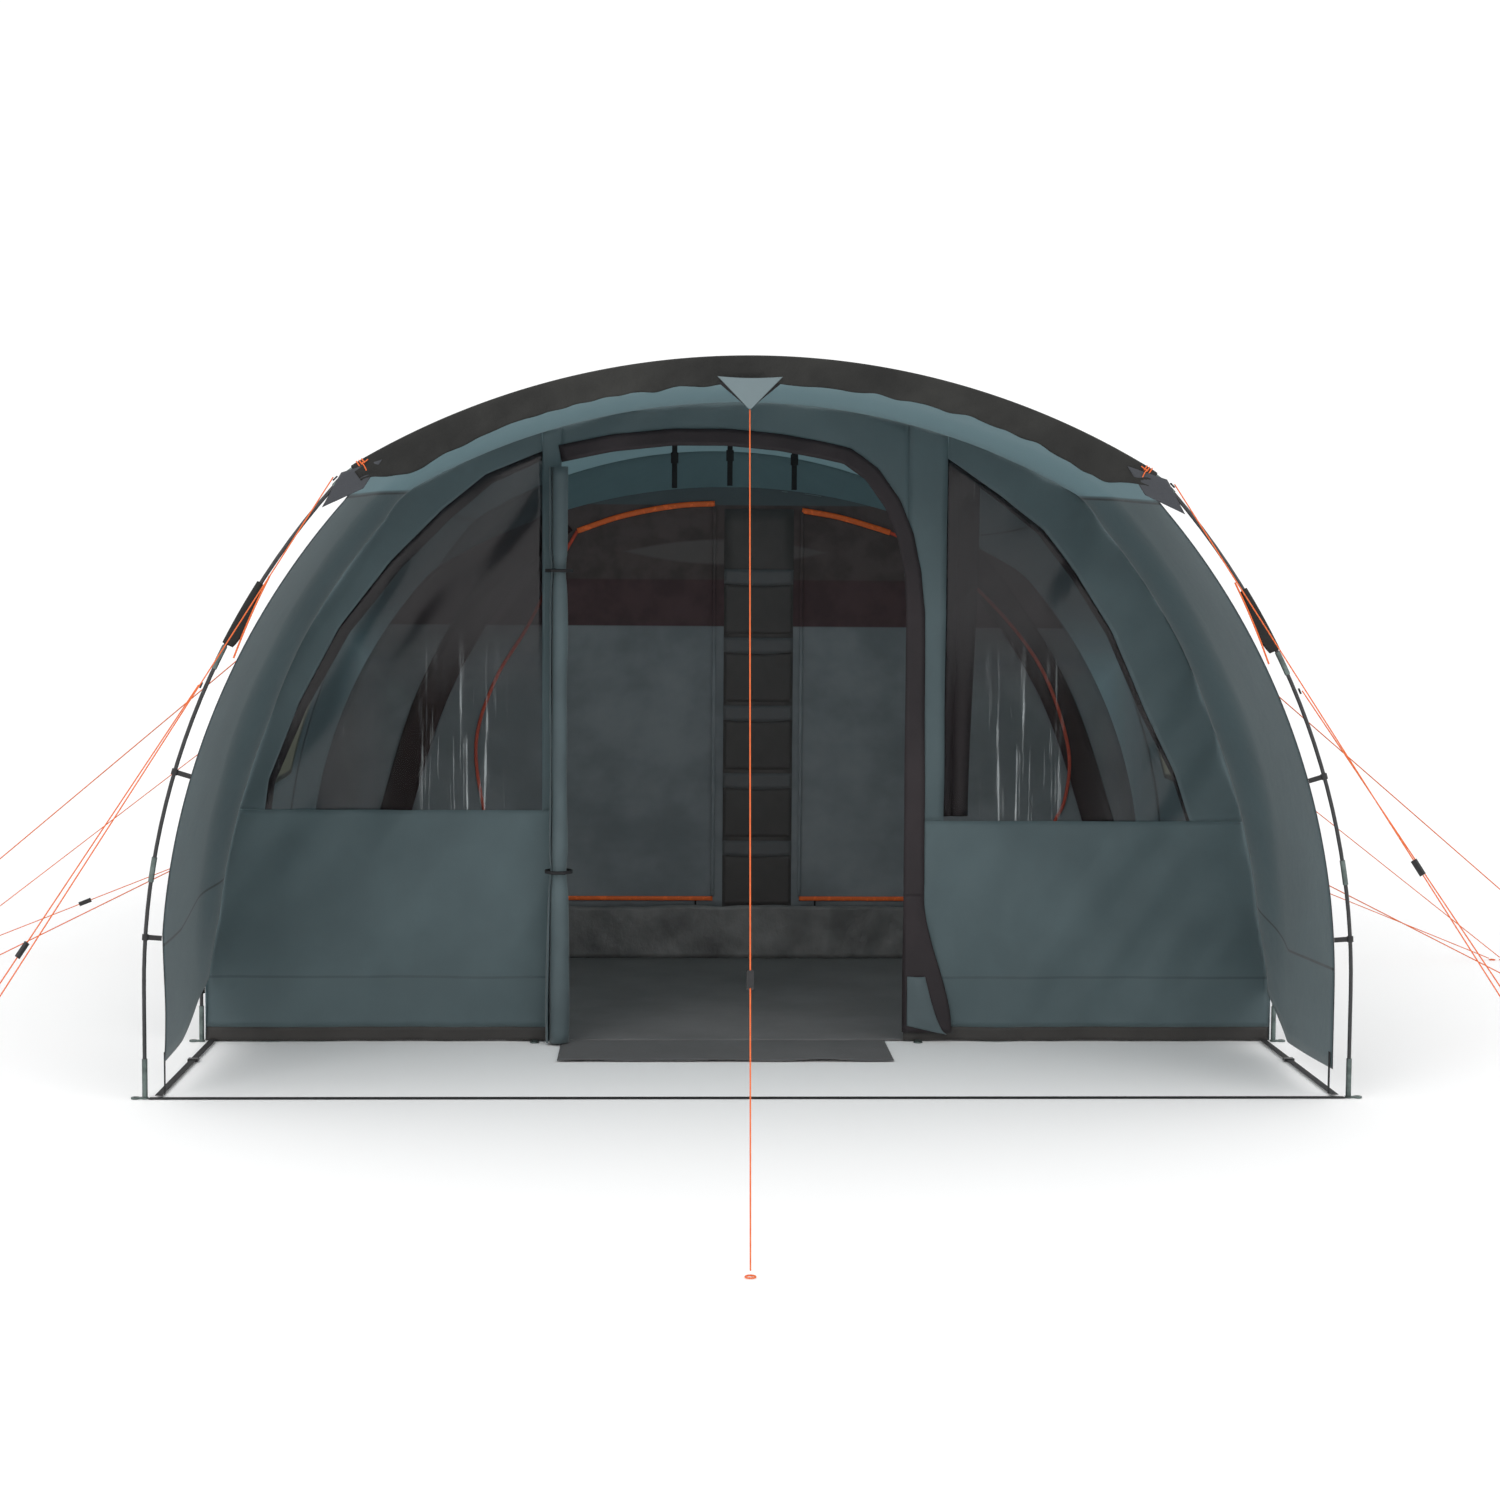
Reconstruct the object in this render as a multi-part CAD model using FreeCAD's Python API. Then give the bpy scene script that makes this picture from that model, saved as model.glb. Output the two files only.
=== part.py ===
import FreeCAD, Part
import math
import os

# Family tunnel tent on four arched poles.  Millimetres, +Z up, ground at Z = 0.
# X runs across the tent, Y from the front arch (negative) to the rear hem (positive).

# ---- arches -------------------------------------------------------------------------
HALF_WIDTH = 1660.0        # centreline to pole centre at the ground
ARCH_HEIGHT = 2020.0       # ground to pole centre at the top of the arch
LEG_HEIGHT = 300.0         # straight, upright foot of each arch
SIDE_TURN = 41.7           # degrees the side bow turns through
ROOF_HALF_TURN = 30.5      # degrees of the roof bow on each side of the middle
SHOULDER_RADIUS = 300.0    # bend of the pre-bent shoulder joint

# ---- stations along the tent --------------------------------------------------------
FRONT_Y = -2550.0
PORCH_DEPTH = 840.0        # front arch to front wall
LIVING_DEPTH = 1660.0      # front wall to bedroom front
BEDROOM_DEPTH = 2000.0     # bedroom front to rear arch
REAR_SLOPE = 600.0         # rear arch to the foot of the slanted rear wall
DOOR_Y = FRONT_Y + PORCH_DEPTH
MIDDLE_Y = DOOR_Y + LIVING_DEPTH
REAR_Y = MIDDLE_Y + BEDROOM_DEPTH
REAR_HEM_Y = REAR_Y + REAR_SLOPE
ARCHES = {"front_pole": FRONT_Y, "door_pole": DOOR_Y, "middle_pole": MIDDLE_Y, "rear_pole": REAR_Y}

# ---- poles --------------------------------------------------------------------------
ROD_R = 5.5
ROD_BORE_R = 3.5
ROD_END_GAP = 0.6          # between two rods that meet inside a joint
JOINT_GAP = 0.25           # rod to the joint tube round it
JOINT_WALL = 1.7
JOINT_LENGTH = 68.0
FOOT_TUBE_TOP = 110.0      # height of the steel tube on each foot
LEG_JOINT_Z = 630.0
SIDE_JOINT_AT = 1240.0     # arc length from the ground
ELASTIC_R = 1.5
JOINT_BORE_R = ROD_R + JOINT_GAP
JOINT_R = JOINT_BORE_R + JOINT_WALL

# ---- cloth --------------------------------------------------------------------------
CLOTH = 2.0
SEAM_GAP = 0.5             # between two cloth pieces that are sewn together
SLEEVE_BORE_R = JOINT_R + 1.5
SLEEVE_R = SLEEVE_BORE_R + 1.5
FLY_DROP = SLEEVE_R + 2.0  # pole centre to the outside of the fly
WING_DROP = 45.0           # the same, at the free front edge of the porch wings
HOOD_DEPTH = 60.0          # front hood, measured in from the pole
WING_CORNER_Z = 85.0       # lower front corner of a wing above the ground
WING_REAR_Z = 180.0        # where a wing leaves the front wall
WING_CUT_Y = 350.0         # behind the front arch, where the lower edge turns up

# ---- front wall ---------------------------------------------------------------------
DOOR_LEFT = -560.0
DOOR_RIGHT = 500.0
DOOR_EAVE_Z = 1783.0
DOOR_TOP_Z = 1838.0
DOOR_SHOULDER = (230.0, 1800.0)
DOOR_BEND = (437.0, 1610.0)
DOOR_SPRING_Z = 1330.0
DOOR_SILL_Z = 25.0
BINDING = 52.0
WINDOW_INNER_X = 618.0
WINDOW_SILL_Z = 700.0
WINDOW_EDGE = [(1425.0, 715.0), (1400.0, 840.0), (1237.0, 1175.0), (1107.0, 1410.0),
               (980.0, 1600.0), (850.0, 1700.0), (WINDOW_INNER_X, 1800.0)]
SIDE_WINDOW_MARGIN = 300.0
SIDE_WINDOW_SILL = 760.0   # arc length from the ground
SIDE_WINDOW_HEAD = 1400.0
CLEAR_SHEET = 1.0

# ---- inner tent and floors ----------------------------------------------------------
INNER_HALF_WIDTH = 1560.0
INNER_HEIGHT = 1772.0
INNER_START = 12.0         # behind the middle arch
INNER_REAR_GAP = 60.0      # inner tent's back wall to the rear arch
TUB_HEIGHT = 190.0
FLOOR = 2.0
THRESHOLD_REACH = 330.0
THRESHOLD_X = (-558.0, 442.0)
ORGANISER_X = (-19.0, 240.0)
ORGANISER_TOP = 1690.0
ORGANISER_DEPTH = 8.0
ZIP_WIDTH = 8.0
ZIP_COIL = 1.5             # thickness off the cloth
ZIP_SILL_Z = 230.0
HANGER_X = (-206.0, 0.0, 240.0)
HANGER = (20.0, 1.5)       # webbing width and thickness
HANGER_BUCKLE = (28.0, 4.5, 40.0)

# ---- guylines -----------------------------------------------------------------------
CORD_R = 1.75
CORD_GAP = 0.3
PEG_LOOP_R = 14.0
ANCHOR_REST = SLEEVE_R + 0.5
# name: (arch Y, share of the arch's length up to the tie, peg X, peg Y)
SIDE_GUYLINES = {
    "front_upper": (FRONT_Y, 0.3015, HALF_WIDTH + 490.0, FRONT_Y - 500.0),
    "front_lower": (FRONT_Y, 0.191, HALF_WIDTH + 520.0, FRONT_Y - 500.0),
    "door_upper": (DOOR_Y, 0.2126, HALF_WIDTH + 1270.0, DOOR_Y),
    "door_lower": (DOOR_Y, 0.0947, HALF_WIDTH + 1140.0, DOOR_Y),
    "middle_upper": (MIDDLE_Y, 0.1893, HALF_WIDTH + 1300.0, MIDDLE_Y),
    "middle_lower": (MIDDLE_Y, 0.083, HALF_WIDTH + 1260.0, MIDDLE_Y),
}
FRONT_GUY_TIE = (-20.0, FRONT_Y - 16.0, 1885.0)
FRONT_GUY_PEG = (-70.0, FRONT_Y - 1750.0, CORD_R)
# runner: (side, guyline, share of the way from the tie to the peg)
RUNNERS = {
    "left_front": (-1, "front_lower", 0.60),
    "right_front": (1, "front_upper", 0.60),
    "left_middle": (-1, "middle_lower", 0.58),
    "right_middle": (1, "middle_lower", 0.20),
}
FRONT_RUNNER_SHARE = 0.717
RUNNER_LENGTH = 46.0
RUNNER_WIDTH = 16.0
RUNNER_DEPTH = 8.0

V = FreeCAD.Vector
Y_AXIS = V(0, 1, 0)
Z_AXIS = V(0, 0, 1)
BIG = 5000.0


class Arch:
    """Arch outline in X and Z: straight legs, side bows, shoulder bends and one roof bow."""

    def __init__(self, half_width, height):
        side = math.radians(SIDE_TURN)
        roof = math.radians(ROOF_HALF_TURN)
        bend = SHOULDER_RADIUS
        # half_width and height are both linear in the two unknown radii
        a, b = math.sin(roof), 1 - math.cos(side)
        c, d = 1 - math.cos(roof), math.sin(side)
        p = half_width - bend * (math.cos(side) - math.sin(roof))
        q = height - LEG_HEIGHT - bend * (math.cos(roof) - math.sin(side))
        self.roof_radius = (p * d - b * q) / (a * d - b * c)
        self.side_radius = (a * q - c * p) / (a * d - b * c)
        self.half_width = half_width
        self.height = height
        self.arcs = []
        centre = V(self.side_radius - half_width, 0, LEG_HEIGHT)
        start = 0.0
        bows = [(self.side_radius, side), (bend, math.pi / 2 - side - roof),
                (self.roof_radius, 2 * roof), (bend, math.pi / 2 - side - roof),
                (self.side_radius, side)]
        for i, (radius, turn) in enumerate(bows):
            self.arcs.append((centre, radius, start, turn))
            start += turn
            if i + 1 < len(bows):
                centre = centre + self.normal(start) * (radius - bows[i + 1][0])
        self.length = 2 * LEG_HEIGHT + sum(r * t for _, r, _, t in self.arcs)

    @staticmethod
    def normal(angle):
        return V(-math.cos(angle), 0, math.sin(angle))

    def at(self, travel):
        """Point, outward normal and tangent at an arc length from the left foot."""
        if travel <= LEG_HEIGHT:
            return V(-self.half_width, 0, travel), V(-1, 0, 0), V(0, 0, 1)
        left = travel - LEG_HEIGHT
        for centre, radius, start, turn in self.arcs:
            if left <= radius * turn:
                angle = start + left / radius
                out = self.normal(angle)
                return centre + out * radius, out, V(math.sin(angle), 0, math.cos(angle))
            left -= radius * turn
        return V(self.half_width, 0, LEG_HEIGHT - left), V(1, 0, 0), V(0, 0, -1)

    def pieces(self, start, stop):
        """The straight and round stretches between two arc lengths."""
        marks = [0.0, LEG_HEIGHT]
        for _, radius, _, turn in self.arcs:
            marks.append(marks[-1] + radius * turn)
        marks.append(self.length)
        for i in range(len(marks) - 1):
            low, high = max(marks[i], start), min(marks[i + 1], stop)
            if high - low > 1e-6:
                round_part = self.arcs[i - 1] if 0 < i < len(marks) - 2 else None
                yield low, high, round_part

    def sweep(self, section, start, stop):
        """Carry a section, made by section(point, normal), along the arch."""
        solids = []
        for low, high, bow in self.pieces(start, stop):
            point, out, along = self.at(low + 1e-9)
            face = section(point, out)
            if bow is None:
                solids.append(face.extrude(along * (high - low)))
            else:
                turn = math.degrees((high - low) / bow[1])
                solids.append(face.revolve(bow[0], Y_AXIS, turn))
        return solids[0] if len(solids) == 1 else fuse(solids)

    def outline(self, drop, base):
        """Closed wire of the arch, moved in by drop and cut off level at base."""
        edges = []
        for low, high, bow in self.pieces(base, self.length - base):
            ends = [self.at(low + 1e-9), self.at(high - 1e-9)]
            a, b = [p - n * drop for p, n, _ in ends]
            if bow is None:
                edges.append(Part.makeLine(a, b))
            else:
                p, n, _ = self.at((low + high) / 2)
                edges.append(Part.Arc(a, p - n * drop, b).toShape())
        edges.append(Part.makeLine(edges[-1].Vertexes[-1].Point, edges[0].Vertexes[0].Point))
        return Part.Wire(Part.__sortEdges__(edges))


OUTER = Arch(HALF_WIDTH, ARCH_HEIGHT)
INNER = Arch(INNER_HALF_WIDTH, INNER_HEIGHT)


def fuse(solids):
    whole = solids[0].fuse(solids[1:])
    return whole.removeSplitter()


def group(solids):
    return Part.makeCompound([s for solid in solids for s in solid.Solids])


def box(x0, x1, y0, y1, z0, z1):
    return Part.makeBox(x1 - x0, y1 - y0, z1 - z0, V(x0, y0, z0))


def tube(start, end, outer, bore=0.0):
    along = end - start
    solid = Part.makeCylinder(outer, along.Length, start, along)
    if bore:
        solid = solid.cut(Part.makeCylinder(bore, along.Length, start, along))
    return solid


def ring_section(y, outer, bore=0.0, drop=0.0):
    """Round section of a tube that follows the arch at station y."""
    def make(point, out):
        centre = point - out * drop + V(0, y, 0)
        across = out.cross(Y_AXIS)
        face = Part.Face(Part.Wire(Part.makeCircle(outer, centre, across)))
        if bore:
            face = face.cut(Part.Face(Part.Wire(Part.makeCircle(bore, centre, across))))
        return face
    return make


def strip_section(corners):
    """Section given by corners, each as (drop from the pole centre, Y)."""
    def make(point, out):
        line = [point - out * drop + V(0, y, 0) for drop, y in corners]
        return Part.Face(Part.makePolygon(line + line[:1]))
    return make


def shell(arch, drop, y0, y1, start, stop, thick=CLOTH):
    corners = [(drop, y0), (drop, y1), (drop + thick, y1), (drop + thick, y0)]
    return arch.sweep(strip_section(corners), start, stop)


def plate(wire, y0, y1):
    """Upright plate between two Y stations from a closed wire at Y = 0."""
    face = Part.Face(wire)
    return face.extrude(V(0, y1 - y0, 0)).translate(V(0, y0, 0))


def upright(points):
    """Closed wire in X and Z at Y = 0."""
    line = [V(x, 0, z) for x, z in points]
    return Part.makePolygon(line + line[:1])


def both_sides(solid):
    return [solid, solid.mirror(V(0, 0, 0), V(1, 0, 0))]


# ---- poles --------------------------------------------------------------------------
SHOULDER_AT = OUTER.length / 2 - OUTER.roof_radius * math.radians(ROOF_HALF_TURN) - 60.0
ROOF_SPAN = OUTER.length - 2 * SHOULDER_AT
LEG_JOINT_AT = LEG_HEIGHT + OUTER.side_radius * math.asin((LEG_JOINT_Z - LEG_HEIGHT) / OUTER.side_radius)
JOINTS_LEFT = [LEG_JOINT_AT, SIDE_JOINT_AT, SHOULDER_AT]
JOINTS_ROOF = [SHOULDER_AT + ROOF_SPAN * i / 4 for i in (1, 2, 3)]
JOINTS = JOINTS_LEFT + JOINTS_ROOF + [OUTER.length - t for t in reversed(JOINTS_LEFT)]
ROD_FOOT_Z = 6.0
PIN_R = 3.2
PIN_TOP = 60.0
PIN_HEAD_R = 10.0
PIN_HEAD = 4.5
PEG_EYE_R = 6.0
PEG_EYE_RIM = 6.0
PEG_EYE_REACH = 26.0


def pole_rods(y):
    marks = [ROD_FOOT_Z] + JOINTS + [OUTER.length - ROD_FOOT_Z]
    rods = []
    for low, high in zip(marks, marks[1:]):
        half = ROD_END_GAP / 2
        rods.append(OUTER.sweep(ring_section(y, ROD_R, ROD_BORE_R), low + half, high - half))
    return group(rods)


def pole_ferrules():
    tubes = []
    for y in ARCHES.values():
        for at in JOINTS:
            span = JOINT_LENGTH / 2
            tubes.append(OUTER.sweep(ring_section(y, JOINT_R, JOINT_BORE_R), at - span, at + span))
    return group(tubes)


def pole_feet():
    tubes = []
    for y in ARCHES.values():
        foot = tube(V(-HALF_WIDTH, y, ROD_FOOT_Z), V(-HALF_WIDTH, y, FOOT_TUBE_TOP), JOINT_R, JOINT_BORE_R)
        tubes += both_sides(foot)
    return group(tubes)


def shock_cords():
    start = PIN_TOP + 10.0
    return group([OUTER.sweep(ring_section(y, ELASTIC_R), start, OUTER.length - start)
                  for y in ARCHES.values()])


def foot_pins():
    """Steel pin in each pole end, on a flat head with a peg eye on its outer side."""
    pins = []
    for y in ARCHES.values():
        centre = V(-HALF_WIDTH, y, 0)
        eye = centre - V(PEG_EYE_REACH, 0, 0)
        head = Part.makeCylinder(PIN_HEAD_R, PIN_HEAD, centre)
        rim = Part.makeCylinder(PEG_EYE_R + PEG_EYE_RIM, PIN_HEAD, eye)
        neck = box(eye.x, centre.x, y - PEG_EYE_RIM, y + PEG_EYE_RIM, 0, PIN_HEAD)
        pin = Part.makeCylinder(PIN_R, PIN_TOP, centre)
        solid = fuse([head, rim, neck, pin]).cut(Part.makeCylinder(PEG_EYE_R, PIN_HEAD, eye))
        pins += both_sides(solid)
    return group(pins)


# ---- sleeves and clips --------------------------------------------------------------
SIDE_SLEEVE_SPAN = (SIDE_JOINT_AT + 40.0, SIDE_JOINT_AT + 230.0)
HOOD_OVERLAP = 25.0        # hood past the shoulder joint's middle
CLIP_TRAVELS = (445.0, 905.0)
CLIP_WALL = 3.0
CLIP_LENGTH = 16.0
CLIP_STRAP = 14.0


def front_hood():
    """Dark sleeve over the top of the front arch with a hood hanging in from it."""
    start = SHOULDER_AT + JOINT_LENGTH / 2 - HOOD_OVERLAP
    sleeve = OUTER.sweep(ring_section(FRONT_Y, SLEEVE_R, SLEEVE_BORE_R), start, OUTER.length - start)
    face_y = FRONT_Y - SLEEVE_R
    back_y = face_y + CLOTH / 2
    corners = [(0.0, face_y), (0.0, back_y), (HOOD_DEPTH, back_y), (HOOD_DEPTH, face_y)]
    hood = OUTER.sweep(strip_section(corners), start, OUTER.length - start)
    return fuse([sleeve, hood])


def side_sleeves():
    return group(both_sides(OUTER.sweep(ring_section(FRONT_Y, SLEEVE_R, SLEEVE_BORE_R), *SIDE_SLEEVE_SPAN)))


def body_sleeves():
    start = FOOT_TUBE_TOP + 40.0
    return group([OUTER.sweep(ring_section(y, SLEEVE_R, SLEEVE_BORE_R), start, OUTER.length - start)
                  for y in (DOOR_Y, MIDDLE_Y, REAR_Y)])


def pole_clips():
    """Hooks on the front pole and the webbing that joins them to the wing's edge."""
    clips = []
    for travel in CLIP_TRAVELS:
        half = CLIP_LENGTH / 2
        hook = OUTER.sweep(ring_section(FRONT_Y, ROD_R + CORD_GAP + CLIP_WALL, ROD_R + CORD_GAP),
                           travel - half, travel + half)
        lug_start = ROD_R + CORD_GAP + CLIP_WALL - 1.0
        corners = [(lug_start, FRONT_Y - 1), (lug_start, FRONT_Y + 1),
                   (WING_DROP - SEAM_GAP, FRONT_Y + 1), (WING_DROP - SEAM_GAP, FRONT_Y - 1)]
        strap = OUTER.sweep(strip_section(corners), travel - CLIP_STRAP / 2, travel + CLIP_STRAP / 2)
        clips += both_sides(fuse([hook, strap]))
    return group(clips)


# ---- fly ----------------------------------------------------------------------------
FLY_BASE = 2.5             # fly hem above the ground


def wing():
    """Left porch wing: ruled from the pulled-in front edge to the front wall's arch."""
    top = SHOULDER_AT - JOINT_LENGTH

    def edge(drop, y):
        low, spring, knee = [OUTER.at(t) for t in (WING_CORNER_Z - 20.0, LEG_HEIGHT, top)]
        middle = OUTER.at((LEG_HEIGHT + top) / 2)
        place = [p - n * drop + V(0, y, 0) for p, n, _ in (low, spring, middle, knee)]
        inside = [p - n * (drop + CLOTH) + V(0, y, 0) for p, n, _ in (low, spring, middle, knee)]
        return Part.Wire([Part.makeLine(place[0], place[1]),
                          Part.Arc(place[1], place[2], place[3]).toShape(),
                          Part.makeLine(place[3], inside[3]),
                          Part.Arc(inside[3], inside[2], inside[1]).toShape(),
                          Part.makeLine(inside[1], inside[0]),
                          Part.makeLine(inside[0], place[0])])

    cloth = Part.makeLoft([edge(WING_DROP, FRONT_Y), edge(FLY_DROP, DOOR_Y - SEAM_GAP)], True, True)
    below = [(FRONT_Y - 1, 0), (FRONT_Y - 1, WING_CORNER_Z), (FRONT_Y + WING_CUT_Y, WING_CORNER_Z),
             (DOOR_Y + 1, WING_REAR_Z), (DOOR_Y + 1, 0)]
    line = [V(-BIG, y, z) for y, z in below]
    waste = Part.Face(Part.makePolygon(line + line[:1])).extrude(V(BIG, 0, 0))
    return cloth.cut(waste)


def porch_canopy():
    start = SHOULDER_AT - JOINT_LENGTH + SEAM_GAP
    roof = shell(OUTER, FLY_DROP, FRONT_Y, DOOR_Y - SEAM_GAP, start, OUTER.length - start)
    return group([roof] + both_sides(wing()))


def side_window_cut(gap):
    """Block that cuts, or with a gap fills, the left living-room window."""
    y0 = DOOR_Y + SIDE_WINDOW_MARGIN + gap
    y1 = MIDDLE_Y - SIDE_WINDOW_MARGIN - gap
    drop = FLY_DROP + (CLOTH - CLEAR_SHEET) / 2 if gap else FLY_DROP - 1.0
    thick = CLEAR_SHEET if gap else CLOTH + 2.0
    return shell(OUTER, drop, y0, y1, SIDE_WINDOW_SILL + gap, SIDE_WINDOW_HEAD - gap, thick)


def living_fly():
    cloth = shell(OUTER, FLY_DROP, DOOR_Y, MIDDLE_Y - SEAM_GAP, FLY_BASE, OUTER.length - FLY_BASE)
    for opening in both_sides(side_window_cut(0)):
        cloth = cloth.cut(opening)
    return cloth


def side_windows():
    return group(both_sides(side_window_cut(SEAM_GAP)))


def rear_cut(shift):
    """Everything behind the slanted rear wall, moved forward by shift."""
    foot = REAR_HEM_Y - shift
    head = REAR_Y - shift
    rise = REAR_SLOPE / ARCH_HEIGHT
    line = [(foot, 0), (head, ARCH_HEIGHT), (head - rise * 500, ARCH_HEIGHT + 500),
            (BIG, ARCH_HEIGHT + 500), (BIG, 0)]
    points = [V(-BIG, y, z) for y, z in line]
    return Part.Face(Part.makePolygon(points + points[:1])).extrude(V(2 * BIG, 0, 0))


def bedroom_fly():
    cloth = shell(OUTER, FLY_DROP, MIDDLE_Y, REAR_HEM_Y, FLY_BASE, OUTER.length - FLY_BASE)
    return cloth.cut(rear_cut(0))


def rear_wall():
    inside = plate(OUTER.outline(FLY_DROP + CLOTH + SEAM_GAP, FLY_BASE), REAR_Y - 400, REAR_HEM_Y)
    return inside.cut(rear_cut(0)).common(rear_cut(CLOTH))


# ---- front wall ---------------------------------------------------------------------
ROLL_TOP_R = 30.0
ROLL_FOOT_R = 40.0
ROLL_X = DOOR_LEFT - 5.0
ROLL_GAP = 2.0
ROLL_Y = DOOR_Y - CLOTH - ROLL_FOOT_R - 8.0
TOGGLE_HEIGHTS = (534.0, 1450.0)
TOGGLE_R = 5.0
TOGGLE_LENGTH = 44.0
BAND = (1.5, 10.0)         # elastic band thickness and height
CURTAIN_X = (600.0, 722.0)
CURTAIN_TAPER = 25.0       # narrower at the sill
CURTAIN_TOP_Z = (1780.0, 1740.0)
CURTAIN_GAP = 12.0         # behind the wall cloth
CURTAIN_DEPTH = 26.0
HEM_RING_X = (-640.0, 545.0)
HEM_RING_OUT = 22.0        # in front of the wall
HEM_RING_R = 12.0
HEM_RING_BAR = 2.0
HEM_TAB = (16.0, 20.0, 1.5)


def door_wire():
    sill, spring = DOOR_SILL_Z, DOOR_SPRING_Z
    shoulder = V(DOOR_SHOULDER[0], 0, DOOR_SHOULDER[1])
    left_foot, left_top = V(DOOR_LEFT, 0, sill), V(DOOR_LEFT, 0, DOOR_EAVE_Z)
    right_foot, right_top = V(DOOR_RIGHT, 0, sill), V(DOOR_RIGHT, 0, spring)
    crown = V((DOOR_LEFT + DOOR_SHOULDER[0]) / 2, 0, DOOR_TOP_Z)
    return Part.Wire([Part.makeLine(left_foot, left_top),
                      Part.Arc(left_top, crown, shoulder).toShape(),
                      Part.Arc(shoulder, V(DOOR_BEND[0], 0, DOOR_BEND[1]), right_top).toShape(),
                      Part.makeLine(right_top, right_foot),
                      Part.makeLine(right_foot, left_foot)])


def window_wire(gap):
    inner, outer = WINDOW_INNER_X, WINDOW_EDGE[0]
    points = [(inner, WINDOW_SILL_Z), (outer[0], WINDOW_SILL_Z)] + WINDOW_EDGE
    wire = upright(points)
    return wire.makeOffset2D(-gap) if gap else wire


def front_wall():
    wall = plate(OUTER.outline(FLY_DROP + CLOTH + SEAM_GAP, FLY_BASE), DOOR_Y, DOOR_Y + CLOTH)
    wall = wall.cut(plate(door_wire(), DOOR_Y - 1, DOOR_Y + CLOTH + 1))
    for opening in both_sides(plate(window_wire(0), DOOR_Y - 1, DOOR_Y + CLOTH + 1)):
        wall = wall.cut(opening)
    return wall


def front_windows():
    y0 = DOOR_Y + (CLOTH - CLEAR_SHEET) / 2
    return group(both_sides(plate(window_wire(SEAM_GAP), y0, y0 + CLEAR_SHEET)))


def door_binding():
    """Dark band sewn round the door opening, on the outside of the wall."""
    y1 = DOOR_Y - SEAM_GAP
    band = plate(door_wire().makeOffset2D(BINDING), y1 - CLOTH, y1)
    band = band.cut(plate(door_wire(), y1 - CLOTH - 1, y1 + 1))
    return band.cut(box(-BIG, BIG, y1 - 10, y1 + 10, -BIG, DOOR_SILL_Z))


def rolled_door():
    foot = V(ROLL_X, ROLL_Y, FLY_BASE + 5)
    return Part.makeCone(ROLL_FOOT_R, ROLL_TOP_R, DOOR_EAVE_Z - foot.z - 20, foot)


def door_toggles():
    """Elastic bands round the rolled door, each closed by a toggle."""
    pieces = []
    for z in TOGGLE_HEIGHTS:
        bore = ROLL_FOOT_R + ROLL_GAP / 2
        half = V(0, 0, BAND[1] / 2)
        middle = V(ROLL_X, ROLL_Y, z)
        ring = tube(middle - half, middle + half, bore + BAND[0], bore)
        start = middle - V(TOGGLE_LENGTH / 2, bore + BAND[0] + TOGGLE_R + SEAM_GAP, 0)
        pieces += [ring, tube(start, start + V(TOGGLE_LENGTH, 0, 0), TOGGLE_R)]
    return group(pieces)


def window_curtain():
    """Window blind gathered to the window's inner side, just behind the wall."""
    y0 = DOOR_Y + CLOTH + CURTAIN_GAP
    inner, outer = CURTAIN_X
    points = [(inner, WINDOW_SILL_Z), (outer - CURTAIN_TAPER, WINDOW_SILL_Z),
              (outer, CURTAIN_TOP_Z[1]), (inner, CURTAIN_TOP_Z[0])]
    return plate(upright(points), y0, y0 + CURTAIN_DEPTH)


def hem_rings():
    """Steel peg rings on webbing at the door's two feet."""
    rings = []
    for x in HEM_RING_X:
        ring = Part.makeTorus(HEM_RING_R, HEM_RING_BAR, V(x, DOOR_Y - HEM_RING_OUT, HEM_RING_BAR), Z_AXIS)
        width, length, thick = HEM_TAB
        tab_y = DOOR_Y - HEM_RING_OUT + HEM_RING_R - HEM_RING_BAR - 1
        low = HEM_RING_BAR * 2 + SEAM_GAP
        tab = box(x - width / 2, x + width / 2, tab_y - length / 2, tab_y + length / 2, low, low + thick)
        rings += [ring, tab]
    return group(rings)


# ---- floors and inner tent ----------------------------------------------------------
FLOOR_HALF = HALF_WIDTH - FLY_DROP - CLOTH - 6.0
INNER_Y0 = MIDDLE_Y + INNER_START
INNER_Y1 = REAR_Y - INNER_REAR_GAP
BODY_BASE = TUB_HEIGHT + SEAM_GAP


def groundsheet():
    return box(-FLOOR_HALF, FLOOR_HALF, DOOR_Y + CLOTH + 2, INNER_Y0 - 2, 0, FLOOR)


def threshold_flap():
    return box(THRESHOLD_X[0], THRESHOLD_X[1], DOOR_Y - THRESHOLD_REACH, DOOR_Y + CLOTH + 1, 0, FLOOR)


def inner_tub():
    half = INNER_HALF_WIDTH
    outside = box(-half, half, INNER_Y0, INNER_Y1, 0, TUB_HEIGHT)
    inside = box(-half + CLOTH, half - CLOTH, INNER_Y0 + CLOTH, INNER_Y1 - CLOTH, FLOOR, TUB_HEIGHT + 1)
    return outside.cut(inside)


def inner_front_wall():
    return plate(INNER.outline(0, BODY_BASE), INNER_Y0, INNER_Y0 + CLOTH)


def inner_body():
    """Roof, sides and back of the bedroom, open to the front wall piece."""
    y0 = INNER_Y0 + CLOTH + SEAM_GAP
    skin = shell(INNER, 0, y0, INNER_Y1 - CLOTH, BODY_BASE, INNER.length - BODY_BASE)
    back = plate(INNER.outline(0, BODY_BASE), INNER_Y1 - CLOTH, INNER_Y1)
    return fuse([skin, back])


def organiser():
    y1 = INNER_Y0 - SEAM_GAP
    return box(*ORGANISER_X, y1 - ORGANISER_DEPTH, y1, BODY_BASE, ORGANISER_TOP)


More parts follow.
